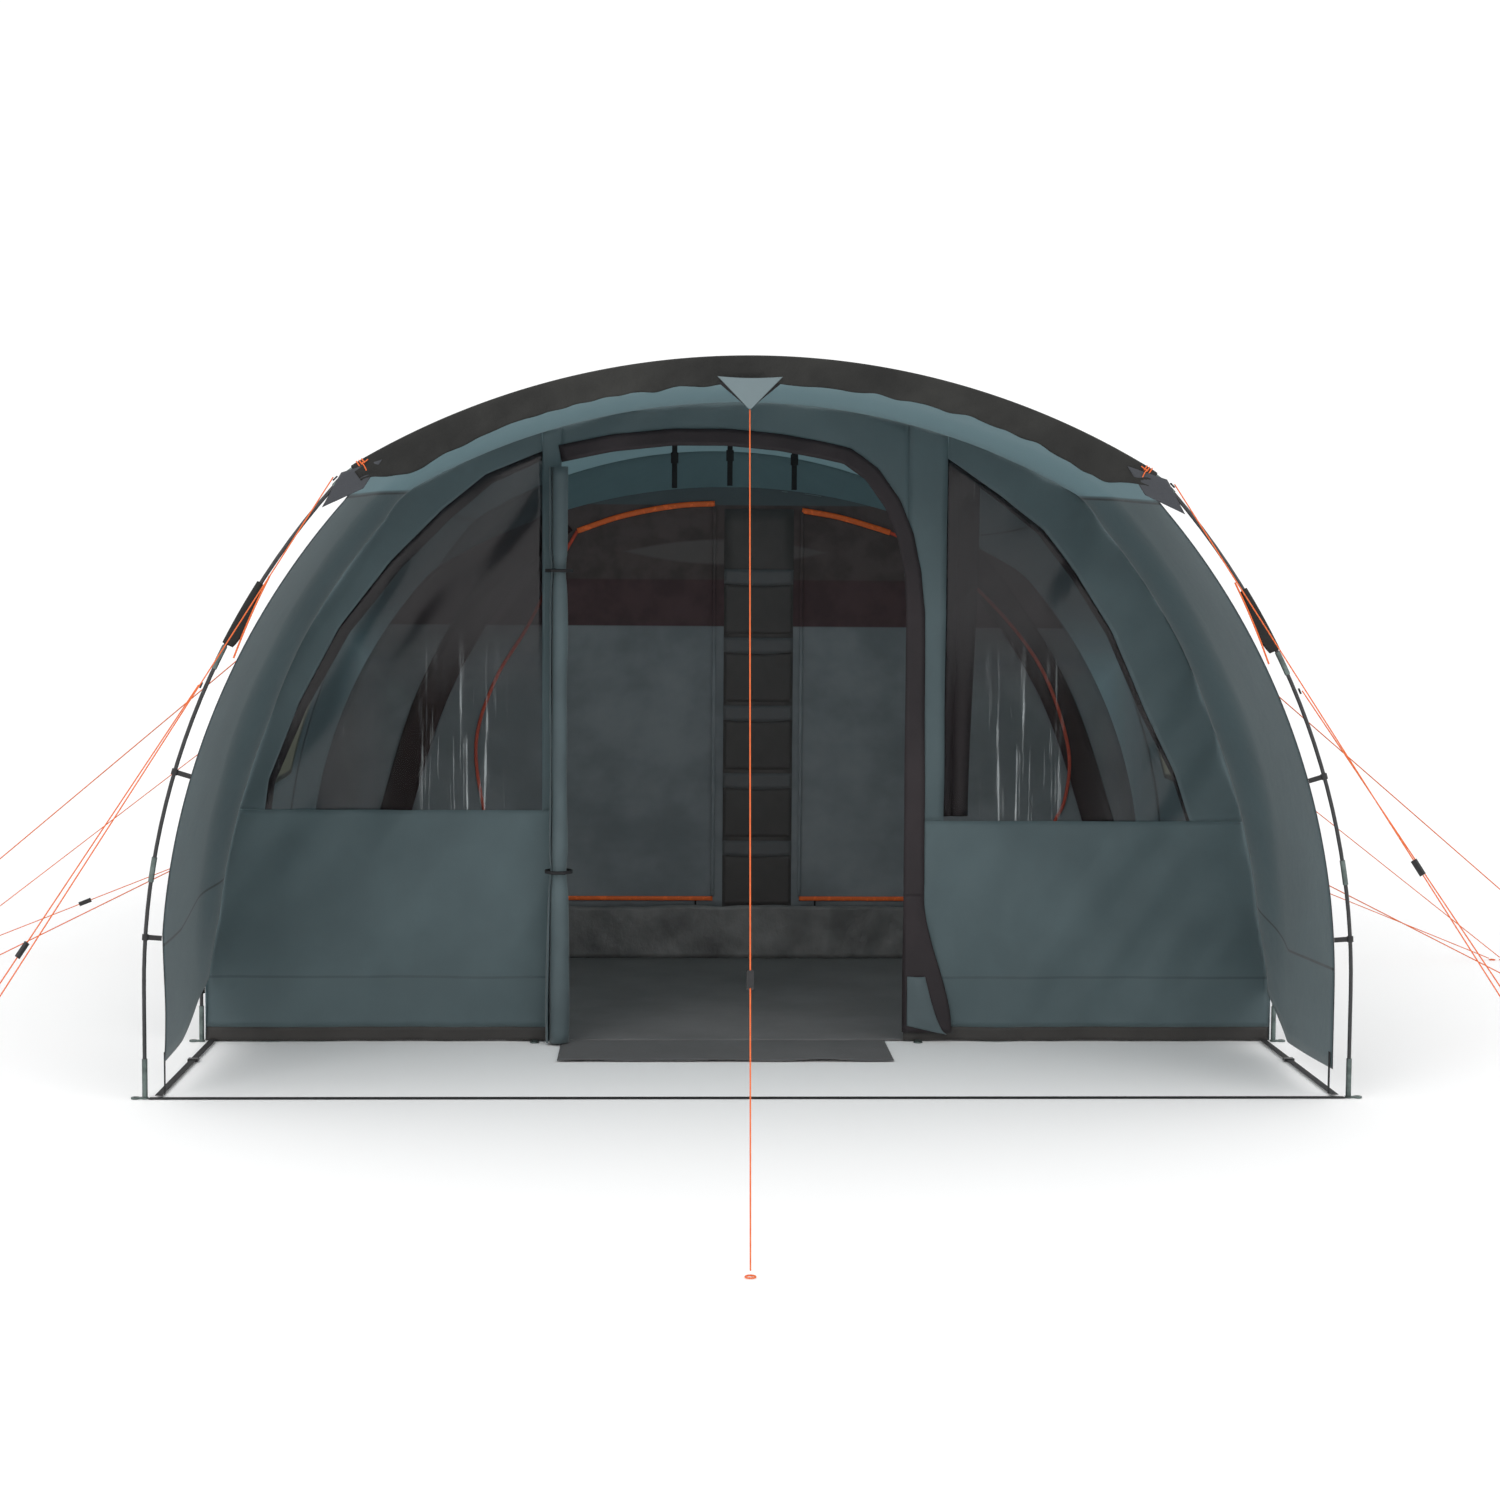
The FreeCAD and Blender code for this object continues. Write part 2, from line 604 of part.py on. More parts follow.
def zip_outline(points):
    """Round-cornered D of a bedroom door, from hand-set corners joined by bows."""
    start, low, wide, high, top = [V(x, 0, z) for x, z in points]
    return Part.Wire([Part.makeLine(start, low),
                      Part.Arc(low, wide, high).toShape(),
                      Part.makeLine(high, top),
                      Part.makeLine(top, start)])


LEFT_ZIP = [(-56, ZIP_SILL_Z), (-780, ZIP_SILL_Z), (-940, 760), (-566, 1560), (-56, 1680)]
RIGHT_ZIP = [(270, ZIP_SILL_Z), (1060, ZIP_SILL_Z), (1280, 780), (570, 1600), (270, 1670)]


def bedroom_zips():
    coils = []
    for points in (LEFT_ZIP, RIGHT_ZIP):
        wire = zip_outline(points)
        y1 = INNER_Y0 - SEAM_GAP
        ring = plate(wire.makeOffset2D(ZIP_WIDTH / 2), y1 - ZIP_COIL, y1)
        coils.append(ring.cut(plate(wire.makeOffset2D(-ZIP_WIDTH / 2), y1 - 3, y1 + 1)))
    return group(coils)


BEDROOM_ZIP_X = {"left_bedroom": -120.0, "right_bedroom": 330.0}
BEDROOM_SLIDER = (16.0, 6.0, 12.0)   # along X, Y and Z
DOOR_SLIDER = (12.0, 7.0, 18.0)
DOOR_SLIDER_UP = 60.0      # above the sill
ZIP_TAB = (6.0, 2.0, 36.0)


def zip_slider(x, back_y, z, size):
    """Slider body with its pull tab hanging down, just in front of the coil."""
    width, depth, height = size
    tab_width, tab_depth, tab_drop = ZIP_TAB
    body = box(x - width / 2, x + width / 2, back_y - depth, back_y, z - height / 2, z + height / 2)
    tab_y = back_y - depth + 1
    tab = box(x - tab_width / 2, x + tab_width / 2, tab_y, tab_y + tab_depth, z - tab_drop, z)
    return fuse([body, tab])


def bedroom_zip_slider(x):
    return zip_slider(x, INNER_Y0 - SEAM_GAP - ZIP_COIL - CORD_GAP, ZIP_SILL_Z, BEDROOM_SLIDER)


def door_zip_slider():
    back_y = DOOR_Y - SEAM_GAP - CLOTH - CORD_GAP
    return zip_slider(DOOR_RIGHT + BINDING / 2, back_y, DOOR_SILL_Z + DOOR_SLIDER_UP, DOOR_SLIDER)


def inner_hangers():
    """Webbing that hangs the inner tent under the middle arch, each with a buckle."""
    pieces = []
    for x in HANGER_X:
        roof_z = ARCH_HEIGHT - OUTER.roof_radius + math.sqrt(OUTER.roof_radius ** 2 - x ** 2)
        wall_z = INNER_HEIGHT - INNER.roof_radius + math.sqrt(INNER.roof_radius ** 2 - x ** 2)
        high = roof_z - FLY_DROP - CLOTH - 6
        low = wall_z + 4
        middle = (low + high) / 2
        width, depth, height = HANGER_BUCKLE
        face_y = INNER_Y0 - SEAM_GAP
        strap = box(x - HANGER[0] / 2, x + HANGER[0] / 2, INNER_Y0, INNER_Y0 + HANGER[1], low, high)
        buckle = box(x - width / 2, x + width / 2, face_y - depth, face_y,
                     middle - height / 2, middle + height / 2)
        pieces += [strap, buckle]
    return group(pieces)


# ---- ground straps ------------------------------------------------------------------
STRAP_X = HALF_WIDTH - 34.0
STRAP_WIDTH = 20.0
STRAP_Z = (5.5, 7.0)
BUCKLE = (30.0, 26.0, 8.0)
BUCKLE_AT = 520.0          # behind the front arch
BUCKLE_Z = 2.0             # underside of the buckle above the ground
STRAP_START = 14.0         # behind the front arch
RISER = (1.5, 16.0)        # thickness, and width along Y
RISER_OVERLAP = 40.0       # onto the wing's corner
GROUND_STRAP_WIDTH = 24.0
GROUND_STRAP_Z = (0.5, 2.0)


def corner_straps():
    """Webbing from each front foot back to the front wall, and up to the wing's corner."""
    half = STRAP_WIDTH / 2
    start = FRONT_Y + STRAP_START
    along = box(-STRAP_X - half, -STRAP_X + half, start, DOOR_Y - 4, *STRAP_Z)
    wing_x = -HALF_WIDTH + WING_DROP + CLOTH + 2
    riser = box(wing_x, wing_x + RISER[0], start, start + RISER[1],
                STRAP_Z[1] + SEAM_GAP, WING_CORNER_Z + RISER_OVERLAP)
    return group(both_sides(along) + both_sides(riser))


def strap_buckle(side):
    """Ladder lock that slides on the ground strap."""
    width, length, height = BUCKLE
    y = FRONT_Y + BUCKLE_AT
    x = side * STRAP_X
    body = box(x - width / 2, x + width / 2, y - length / 2, y + length / 2, BUCKLE_Z, BUCKLE_Z + height)
    slot = STRAP_WIDTH / 2 + CORD_GAP
    low, high = STRAP_Z[0] - CORD_GAP, STRAP_Z[1] + CORD_GAP
    return body.cut(box(x - slot, x + slot, y - length, y + length, low, high))


def ground_strap():
    """Webbing along the ground that keeps the front feet their distance apart."""
    reach = HALF_WIDTH - PIN_HEAD_R - 1.0
    half = GROUND_STRAP_WIDTH / 2
    return box(-reach, reach, FRONT_Y - half, FRONT_Y + half, *GROUND_STRAP_Z)


# ---- guylines -----------------------------------------------------------------------
TAB = (16.0, 12.0, 3.0)    # along the pole, along Y, off the sleeve
TAB_LIFT = 5.0             # cord centre beyond the tab's outer face
PATCH = (88.0, 62.0, 1.5)  # half width, top edge below the pole, thickness


def guy_ends(side, name):
    """Tie point and peg point of one guyline."""
    y, share, peg_x, peg_y = SIDE_GUYLINES[name]
    point, out, _ = OUTER.at(OUTER.length * share)
    tie = point + out * (ANCHOR_REST + TAB[2] + TAB_LIFT) + V(0, y, 0)
    return V(-side * tie.x, tie.y, tie.z), V(side * peg_x, peg_y, CORD_R)


def all_guylines():
    lines = {"front_guyline": (V(*FRONT_GUY_TIE), V(*FRONT_GUY_PEG))}
    for side, word in ((-1, "left"), (1, "right")):
        for name in SIDE_GUYLINES:
            lines[word + "_" + name + "_guyline"] = guy_ends(side, name)
    return lines


def guyline(ends):
    tie, peg = ends
    along = (peg - tie).normalize()
    return tube(tie + along * CORD_R, peg - along * PEG_LOOP_R, CORD_R)


def peg_loops():
    """Loop tied in the ground end of each guyline, where its peg goes."""
    return group([Part.makeTorus(PEG_LOOP_R - 2 * CORD_R, CORD_R, peg, Z_AXIS)
                  for _, peg in all_guylines().values()])


def guy_anchors():
    """Webbing tabs on the sleeves, and the pale triangle at the hood's middle."""
    tabs = []
    for y, share, _, _ in SIDE_GUYLINES.values():
        travel = OUTER.length * share
        corners = [(-ANCHOR_REST, y - TAB[1] / 2), (-ANCHOR_REST, y + TAB[1] / 2),
                   (-ANCHOR_REST - TAB[2], y + TAB[1] / 2), (-ANCHOR_REST - TAB[2], y - TAB[1] / 2)]
        tabs += both_sides(OUTER.sweep(strip_section(corners), travel - TAB[0] / 2, travel + TAB[0] / 2))
    face_y = FRONT_Y - SLEEVE_R - SEAM_GAP
    half, drop, thick = PATCH
    top = ARCH_HEIGHT - drop
    x, _, tip = FRONT_GUY_TIE
    patch = plate(upright([(x - half, top), (x + half, top), (x, tip)]), face_y - thick, face_y)
    return group(tabs + [patch])


def runner(ends, share):
    """Plastic line runner on the cord at a share of its way to the peg."""
    tie, peg = ends
    along = (peg - tie).normalize()
    centre = tie + (peg - tie) * share
    place = FreeCAD.Placement(centre, FreeCAD.Rotation(Z_AXIS, along))
    block = Part.makeBox(RUNNER_WIDTH, RUNNER_DEPTH, RUNNER_LENGTH,
                         V(-RUNNER_WIDTH / 2, -RUNNER_DEPTH / 2, -RUNNER_LENGTH / 2))
    bore = Part.makeCylinder(CORD_R + CORD_GAP, RUNNER_LENGTH * 2, V(0, 0, -RUNNER_LENGTH))
    solid = block.cut(bore)
    solid.Placement = place
    return solid


def runners():
    made = {"front_runner": runner(all_guylines()["front_guyline"], FRONT_RUNNER_SHARE)}
    for name, (side, line, share) in RUNNERS.items():
        made[name + "_runner"] = runner(guy_ends(side, line), share)
    return made


# ---- everything ---------------------------------------------------------------------
def nodes():
    made = {name: pole_rods(y) for name, y in ARCHES.items()}
    for maker in (pole_ferrules, pole_feet, shock_cords, foot_pins, front_hood, side_sleeves,
                  body_sleeves, pole_clips, porch_canopy, living_fly, side_windows, bedroom_fly,
                  rear_wall, front_wall, front_windows, door_binding, rolled_door, door_toggles,
                  window_curtain, hem_rings, groundsheet, threshold_flap, inner_tub,
                  inner_front_wall, inner_body, organiser, bedroom_zips, door_zip_slider,
                  inner_hangers, corner_straps, ground_strap, peg_loops, guy_anchors):
        made[maker.__name__] = maker()
    for name, x in BEDROOM_ZIP_X.items():
        made[name + "_zip_slider"] = bedroom_zip_slider(x)
    made["left_strap_buckle"] = strap_buckle(-1)
    made["right_strap_buckle"] = strap_buckle(1)
    made.update(runners())
    for name, ends in all_guylines().items():
        made[name] = guyline(ends)
        print(name, "length", round(made[name].Volume / (math.pi * CORD_R ** 2), 1))
    return made


os.makedirs("parts", exist_ok=True)
for name, shape in nodes().items():
    shape.exportStep("parts/" + name + ".step")
    print(name, "solids", len(shape.Solids), "volume", round(shape.Volume), "valid", shape.isValid())
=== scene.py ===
import math

import bmesh
import bpy
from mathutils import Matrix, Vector, noise


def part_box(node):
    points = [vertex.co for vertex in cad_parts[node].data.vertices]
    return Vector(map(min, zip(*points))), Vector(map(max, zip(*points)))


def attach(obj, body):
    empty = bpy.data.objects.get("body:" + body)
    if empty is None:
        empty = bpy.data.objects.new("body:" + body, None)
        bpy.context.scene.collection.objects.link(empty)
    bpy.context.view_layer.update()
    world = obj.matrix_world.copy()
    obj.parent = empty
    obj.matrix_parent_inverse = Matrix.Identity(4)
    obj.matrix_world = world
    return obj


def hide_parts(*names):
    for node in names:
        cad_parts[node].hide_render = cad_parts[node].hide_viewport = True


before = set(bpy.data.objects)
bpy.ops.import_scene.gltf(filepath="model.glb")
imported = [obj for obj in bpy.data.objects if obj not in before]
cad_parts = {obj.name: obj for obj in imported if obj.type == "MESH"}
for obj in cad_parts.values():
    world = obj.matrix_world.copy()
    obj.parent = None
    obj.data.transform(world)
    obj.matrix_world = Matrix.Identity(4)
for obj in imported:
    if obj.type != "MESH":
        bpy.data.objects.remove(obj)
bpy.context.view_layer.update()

TENT = "tent"
SIDES = ((-1, "left"), (1, "right"))


# ---- sizes, in metres, worked out from the frame ------------------------------------
def middle_y(node):
    low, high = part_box(node)
    return (low[1] + high[1]) / 2


CLOTH = 0.0012
ROD_R = 0.0055
LEG_HEIGHT = 0.300
SIDE_TURN = math.radians(41.7)
ROOF_HALF_TURN = math.radians(30.5)
SHOULDER_RADIUS = 0.300
HALF_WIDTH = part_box("front_pole")[1][0] - ROD_R
ARCH_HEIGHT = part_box("front_pole")[1][2] - ROD_R
FRONT_Y = middle_y("front_pole")
DOOR_Y = middle_y("door_pole")
MIDDLE_Y = middle_y("middle_pole")
REAR_Y = middle_y("rear_pole")
REAR_HEM_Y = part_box("bedroom_fly")[1][1]
SLEEVE_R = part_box("front_hood")[1][2] - ARCH_HEIGHT
FLY_GAP = 0.002
FLY_DROP = SLEEVE_R + FLY_GAP
WING_DROP = 0.045
INNER_HALF_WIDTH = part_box("inner_body")[1][0]
INNER_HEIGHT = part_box("inner_body")[1][2]
INNER_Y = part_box("inner_front_wall")[0][1]
INNER_REAR_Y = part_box("inner_body")[1][1]
TUB_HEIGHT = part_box("inner_tub")[1][2]


def travel_where(longest, spot, z=None, x=None):
    """Arc length up to longest at which spot(travel) reaches this height or X."""
    low, high = 0.0, longest
    for _ in range(40):
        middle = (low + high) / 2
        px, pz = spot(middle)
        if (pz < z) if z is not None else (px < x):
            low = middle
        else:
            high = middle
    return (low + high) / 2


class Arch:
    """Outline of one arch: straight legs, side bows, shoulder bends and a roof bow."""

    def __init__(self, half_width, height):
        # two equations, for the half width and the height, give the roof and side radii
        a, b = math.sin(ROOF_HALF_TURN), 1 - math.cos(SIDE_TURN)
        c, d = 1 - math.cos(ROOF_HALF_TURN), math.sin(SIDE_TURN)
        p = half_width - SHOULDER_RADIUS * (math.cos(SIDE_TURN) - a)
        q = height - LEG_HEIGHT - SHOULDER_RADIUS * (math.cos(ROOF_HALF_TURN) - d)
        self.half_width = half_width
        self.roof_radius = (p * d - b * q) / (a * d - b * c)
        self.side_radius = (a * q - c * p) / (a * d - b * c)
        shoulder = math.pi / 2 - SIDE_TURN - ROOF_HALF_TURN
        bows = [(self.side_radius, SIDE_TURN), (SHOULDER_RADIUS, shoulder),
                (self.roof_radius, 2 * ROOF_HALF_TURN), (SHOULDER_RADIUS, shoulder),
                (self.side_radius, SIDE_TURN)]
        self.arcs = []
        centre = Vector((self.side_radius - half_width, LEG_HEIGHT))
        turned = 0.0
        for i, (radius, turn) in enumerate(bows):
            self.arcs.append((centre, radius, turned, turn))
            turned += turn
            if i + 1 < len(bows):
                out = Vector((-math.cos(turned), math.sin(turned)))
                centre = centre + out * (radius - bows[i + 1][0])
        self.length = 2 * LEG_HEIGHT + sum(radius * turn for _, radius, _, turn in self.arcs)

    def at(self, travel, drop=0.0):
        """X and Z at an arc length from the left foot, moved in by drop."""
        left = travel - LEG_HEIGHT
        if left <= 0:
            return -self.half_width + drop, travel
        for centre, radius, start, turn in self.arcs:
            if left <= radius * turn:
                angle = start + left / radius
                return (centre.x - math.cos(angle) * (radius - drop),
                        centre.y + math.sin(angle) * (radius - drop))
            left -= radius * turn
        return self.half_width - drop, LEG_HEIGHT - left

    def out(self, travel):
        """Outward direction at an arc length."""
        ax, az = self.at(travel, 0.0)
        bx, bz = self.at(travel, 0.1)
        return Vector((ax - bx, 0, az - bz)).normalized()

    def point(self, travel, y, drop=0.0):
        x, z = self.at(travel, drop)
        return Vector((x, y, z))

    def travel_at(self, z=None, x=None, drop=0.0):
        """Arc length on the left half where the moved-in outline has this height or X."""
        return travel_where(self.length / 2, lambda travel: self.at(travel, drop), z, x)

    def half_width_at(self, z, drop=0.0):
        return -self.at(self.travel_at(z=z, drop=drop), drop)[0]

    def height_at(self, x, drop=0.0):
        return self.at(self.travel_at(x=-abs(x), drop=drop), drop)[1]


OUTER = Arch(HALF_WIDTH, ARCH_HEIGHT)
INNER = Arch(INNER_HALF_WIDTH, INNER_HEIGHT)
ROOF_REACH = OUTER.roof_radius * ROOF_HALF_TURN + 0.060
SHOULDER_AT = OUTER.length / 2 - ROOF_REACH

# how far in from the door arch the front wall is sewn, by arc length from the nearer foot
SEAM_INSET = [(0.0, 0.016), (0.21, 0.025), (0.40, 0.056), (0.80, 0.079), (1.04, 0.089),
              (1.31, 0.081), (1.77, 0.080), (1.92, 0.057), (OUTER.length / 2 + 0.1, 0.055)]


def mix(a, b, share):
    return a + (b - a) * share


def ease(value, low, high):
    """0 below low, 1 above high, smooth between."""
    share = min(1.0, max(0.0, (value - low) / (high - low)))
    return share * share * (3 - 2 * share)


def along(stops, share):
    """Value at share from given (share, value) stops."""
    for (a, va), (b, vb) in zip(stops, stops[1:]):
        if share <= b:
            return mix(va, vb, (share - a) / (b - a))
    return stops[-1][1]


def segment(line, share):
    """Which segment of a line of points holds this share of it, and how far along that is."""
    reach = share * (len(line) - 1)
    index = min(len(line) - 2, int(reach))
    return index, reach - index


def on_side(side, spot):
    """A point of the left half, or its mirror on the right."""
    return Vector((-side * spot.x, spot.y, spot.z))


def ripple(a, b, seed, size_a, size_b):
    """Smooth random height between -1 and 1, stretched along either direction."""
    return noise.noise(Vector((a / size_a, b / size_b, seed * 7.3)))


def seam_inset(travel):
    return along(SEAM_INSET, min(travel, OUTER.length - travel))


def seam_travel(z=None, x=None):
    """Arc length on the left half where the wall's seam has this height or X."""
    return travel_where(OUTER.length / 2, lambda travel: OUTER.at(travel, seam_inset(travel)), z, x)


def seam_point(travel, grow=0.006):
    """X and Z of the wall's outer edge on the left half, a little past the seam."""
    return OUTER.at(travel, seam_inset(travel) - grow)


def seam_half_width(z):
    return -seam_point(seam_travel(z=z))[0]


def seam_height(x):
    return seam_point(seam_travel(x=-abs(x)))[1]


# ---- materials ----------------------------------------------------------------------
class Value:
    """A number in a node tree; working with it adds Math nodes."""

    def __init__(self, finish, socket):
        self.finish = finish
        self.socket = socket

    def _with(self, operation, first, second):
        return self.finish.node("ShaderNodeMath", {"operation": operation}, {0: first, 1: second})

    def __add__(self, other):
        return self._with("ADD", self, other)

    def __sub__(self, other):
        return self._with("SUBTRACT", self, other)

    def __rsub__(self, other):
        return self._with("SUBTRACT", other, self)

    def __mul__(self, other):
        return self._with("MULTIPLY", self, other)

    def __truediv__(self, other):
        return self._with("DIVIDE", self, other)

    def sine(self):
        return self._with("SINE", self, 0.0)

    def size(self):
        return self._with("ABSOLUTE", self, 0.0)

    def most(self, other):
        return self._with("MAXIMUM", self, other)

    def step(self, low, high):
        """0 below low, 1 above high, smooth between."""
        return self.finish.node("ShaderNodeMapRange", {"interpolation_type": "SMOOTHSTEP"},
                                {"Value": self, "From Min": low, "From Max": high})

    __radd__ = __add__
    __rmul__ = __mul__


class Finish:
    """One material and the nodes in it."""

    def __init__(self, name):
        self.material = bpy.data.materials.new(name)
        self.material.use_nodes = True
        self.tree = self.material.node_tree
        self.shader = self.tree.nodes["Principled BSDF"]

    def node(self, kind, settings=None, sockets=None, output=0):
        made = self.tree.nodes.new(kind)
        for key, value in (settings or {}).items():
            setattr(made, key, value)
        for key, value in (sockets or {}).items():
            self.set(made.inputs[key], value)
        return Value(self, made.outputs[output])

    def set(self, socket, value):
        if isinstance(value, Value):
            self.tree.links.new(value.socket, socket)
        else:
            socket.default_value = value

    def shade(self, **sockets):
        for key, value in sockets.items():
            self.set(self.shader.inputs[key.replace("_", " ")], value)

    def place(self, kind="Object"):
        return self.node("ShaderNodeTexCoord", output=kind)

    def axes(self, place):
        """X, Y and Z of a place as three values."""
        return [self.node("ShaderNodeSeparateXYZ", None, {0: place}, i) for i in range(3)]

    def stretched(self, place, scale):
        return self.node("ShaderNodeMapping", None, {"Vector": place, "Scale": scale})

    def clouds(self, place, scale, detail=3.0, rough=0.55):
        return self.node("ShaderNodeTexNoise", None,
                         {"Vector": place, "Scale": scale, "Detail": detail, "Roughness": rough})

    def colours(self, low, high, factor):
        """Colour from low to high by a factor."""
        return self.node("ShaderNodeMix", {"data_type": "RGBA"}, {0: factor, 6: low, 7: high}, 2)

    def base(self):
        """The colour that the shader has so far."""
        return Value(self, self.shader.inputs["Base Color"].links[0].from_socket)

    def let_light_through(self, share, colour):
        """Mix in a share of light that shines through the cloth."""
        output = self.tree.nodes["Material Output"]
        glow = self.tree.nodes.new("ShaderNodeBsdfTranslucent")
        glow.inputs["Color"].default_value = colour
        both = self.tree.nodes.new("ShaderNodeMixShader")
        self.set(both.inputs[0], share)
        self.tree.links.new(self.shader.outputs[0], both.inputs[1])
        self.tree.links.new(glow.outputs[0], both.inputs[2])
        self.tree.links.new(both.outputs[0], output.inputs["Surface"])

    def bump(self, height, distance, strength=1.0, under=None):
        sockets = {"Height": height, "Distance": distance, "Strength": strength}
        if under is not None:
            sockets["Normal"] = under
        return self.node("ShaderNodeBump", None, sockets)


def rgb(red, green, blue):
    """Linear colour with full alpha from 0-255 screen values."""
    def linear(value):
        value = value / 255
        return value / 12.92 if value <= 0.04045 else ((value + 0.055) / 1.055) ** 2.4
    return (linear(red), linear(green), linear(blue), 1.0)


def scaled(colour, factor, lift=0.0):
    """A darker or brighter colour of the same hue."""
    return tuple(channel * factor + lift for channel in colour[:3]) + (1.0,)


SHINE_THROUGH = rgb(188, 210, 215)
# dark colour of seams and bindings: part their own tone, part painted seam shade
SEAM_TONE_AND_SHADE = rgb(40, 46, 49)


def seam_line(value, place, half=0.0055, core=0.0025):
    """1 on a sewn seam at this place, 0 beside it."""
    return (value - place).size().step(half, core)


def weave(finish, pitch, place):
    """Crossed threads as a height, from a cloth piece's own flat coordinates."""
    across, down, _ = finish.axes(place)
    turn = 2 * math.pi / pitch
    return (across * turn).sine() * (down * turn).sine()


def cloth_finish(name, light, dark, pitch=0.0016, rough=0.62, sheen=0.25, crease=0.006, gloss=0.5):
    """Coated polyester: faint weave, soft creases, and a colour that changes slowly at random and follows the
    crease bump as painted crease shade and highlight.
    """
    finish = Finish(name)
    flat = finish.place("UV")
    slow = finish.clouds(flat, 2.2, 4.0, 0.6)
    creases = finish.clouds(finish.stretched(flat, (1.4, 1.0, 1.0)), 5.0, 5.0, 0.62)
    # the crease noise that drives the bump also lightens the colour on the ridges and darkens it in the
    # folds: painted crease shade and highlight
    shade = (slow * 0.8 + creases * 0.2).step(0.35, 0.66)
    folds = finish.bump(creases, crease, 0.55)
    threads = finish.bump(weave(finish, pitch, flat), 0.00012, 0.35, folds)
    finish.shade(Base_Color=finish.colours(dark, light, shade), Normal=threads,
                 Roughness=rough + 0.10 * slow - 0.05)
    finish.shade(Sheen_Weight=sheen, Sheen_Roughness=0.5, Specular_IOR_Level=gloss)
    return finish


def fly_finish(name, light, dark, seams=(), level=None, share=0.45):
    """Fly cloth with dark sewn seams at flat distances along U, or at one height; the seams' darkness is part
    their own tone and part painted seam shade.
    """
    finish = cloth_finish(name, light, dark)
    across, _, _ = finish.axes(finish.place("UV"))
    mask = None
    for seam in seams:
        line = seam_line(across, seam)
        mask = line if mask is None else mask.most(line)
    if level is not None:
        _, _, height = finish.axes(finish.place())
        mask = seam_line(height, level, 0.006, 0.002) * 0.4
    if mask is not None:
        # the seam mask darkens the colour: partly the seams' own tone, partly painted seam shade
        finish.shade(Base_Color=finish.colours(finish.base(), SEAM_TONE_AND_SHADE, mask))
        share = share - mask * (share * 0.8)
    finish.let_light_through(share, SHINE_THROUGH)
    return finish.material


ROOF_PANEL_Z, ROOF_PANEL_RISE = 1.643, 0.05


def canopy_finish():
    """Porch cloth: pale roof panel with a dark edge seam, darker wings, bound front edge; the dark seam lines
    are part seam tone and part painted seam shade.
    """
    finish = cloth_finish("fly_cloth", rgb(70, 87, 91), rgb(62, 77, 81), crease=0.009)
    across, down, _ = finish.axes(finish.place("UV"))
    _, y, z = finish.axes(finish.place())
    height = z - (y - FRONT_Y) * ROOF_PANEL_RISE
    roof = height.step(ROOF_PANEL_Z - 0.003, ROOF_PANEL_Z + 0.003)
    seam = seam_line(height, ROOF_PANEL_Z, 0.008, 0.004)
    hem = down.step(0.009, 0.007)
    for place in (0.32, OUTER.length - 0.58):
        hem = hem.most(seam_line(across, place))
    lines = seam.most(hem)
    cloth = finish.colours(finish.base(), rgb(98, 117, 122), roof * 0.9)
    # seam lines and the bound front edge darken the colour: the binding's own tone, and seam tone with
    # painted seam shade
    finish.shade(Base_Color=finish.colours(cloth, SEAM_TONE_AND_SHADE, lines))
    finish.let_light_through(0.20 + roof * 0.32 - lines * 0.18, SHINE_THROUGH)
    return finish.material


def plain_cloth(name, light, dark, **more):
    return cloth_finish(name, light, dark, **more).material


def metal_finish(name, colour, rough):
    """Worn steel: fine scratches and a little dulling."""
    finish = Finish(name)
    place = finish.place()
    marks = finish.clouds(finish.stretched(place, (1.0, 1.0, 0.15)), 260.0, 4.0, 0.6)
    dull = finish.clouds(place, 35.0, 3.0)
    finish.shade(Base_Color=finish.colours(scaled(colour, 0.6), colour, dull.step(0.3, 0.6)),
                 Roughness=rough + 0.18 * marks, Normal=finish.bump(marks, 0.00015, 0.4))
    finish.shade(Metallic=1.0)
    return finish.material


def plastic_finish(name, colour, rough, grain=420.0):
    """Moulded plastic with a fine skin grain and slight scuffs."""
    finish = Finish(name)
    place = finish.place()
    skin = finish.clouds(place, grain, 2.0)
    scuff = finish.clouds(place, 40.0, 4.0, 0.65)
    worn = scaled(colour, 1.5, 0.004)
    finish.shade(Base_Color=finish.colours(colour, worn, scuff.step(0.5, 0.72)),
                 Roughness=rough + 0.14 * scuff, Normal=finish.bump(skin, 0.0002, 0.35))
    return finish.material


def rod_finish():
    """Pultruded fibreglass: glossy black with fine lengthwise streaks."""
    finish = Finish("fibreglass_rod")
    place = finish.place()
    streak = finish.clouds(finish.stretched(place, (1.0, 1.0, 0.2)), 300.0, 3.0)
    finish.shade(Base_Color=finish.colours(rgb(16, 17, 19), rgb(36, 38, 42), streak.step(0.4, 0.7)),
                 Roughness=0.24 + 0.16 * streak, Normal=finish.bump(streak, 0.0001, 0.3))
    finish.shade(Coat_Weight=0.3)
    return finish.material


def webbing_finish(name, colour, pitch=0.0022):
    """Flat woven tape: raised ribs across its length."""
    finish = Finish(name)
    x, y, z = finish.axes(finish.place())
    turn = 2 * math.pi / pitch
    rib = ((x + y + z) * turn).sine() * ((x - y) * turn).sine()
    fuzz = finish.clouds(finish.place(), 180.0, 3.0)
    worn = scaled(colour, 1.9, 0.004)
    finish.shade(Base_Color=finish.colours(colour, worn, (rib * 0.25 + fuzz).step(0.4, 0.8)),
                 Normal=finish.bump(rib, 0.0003, 0.6), Roughness=0.72 + 0.12 * fuzz)
    return finish.material


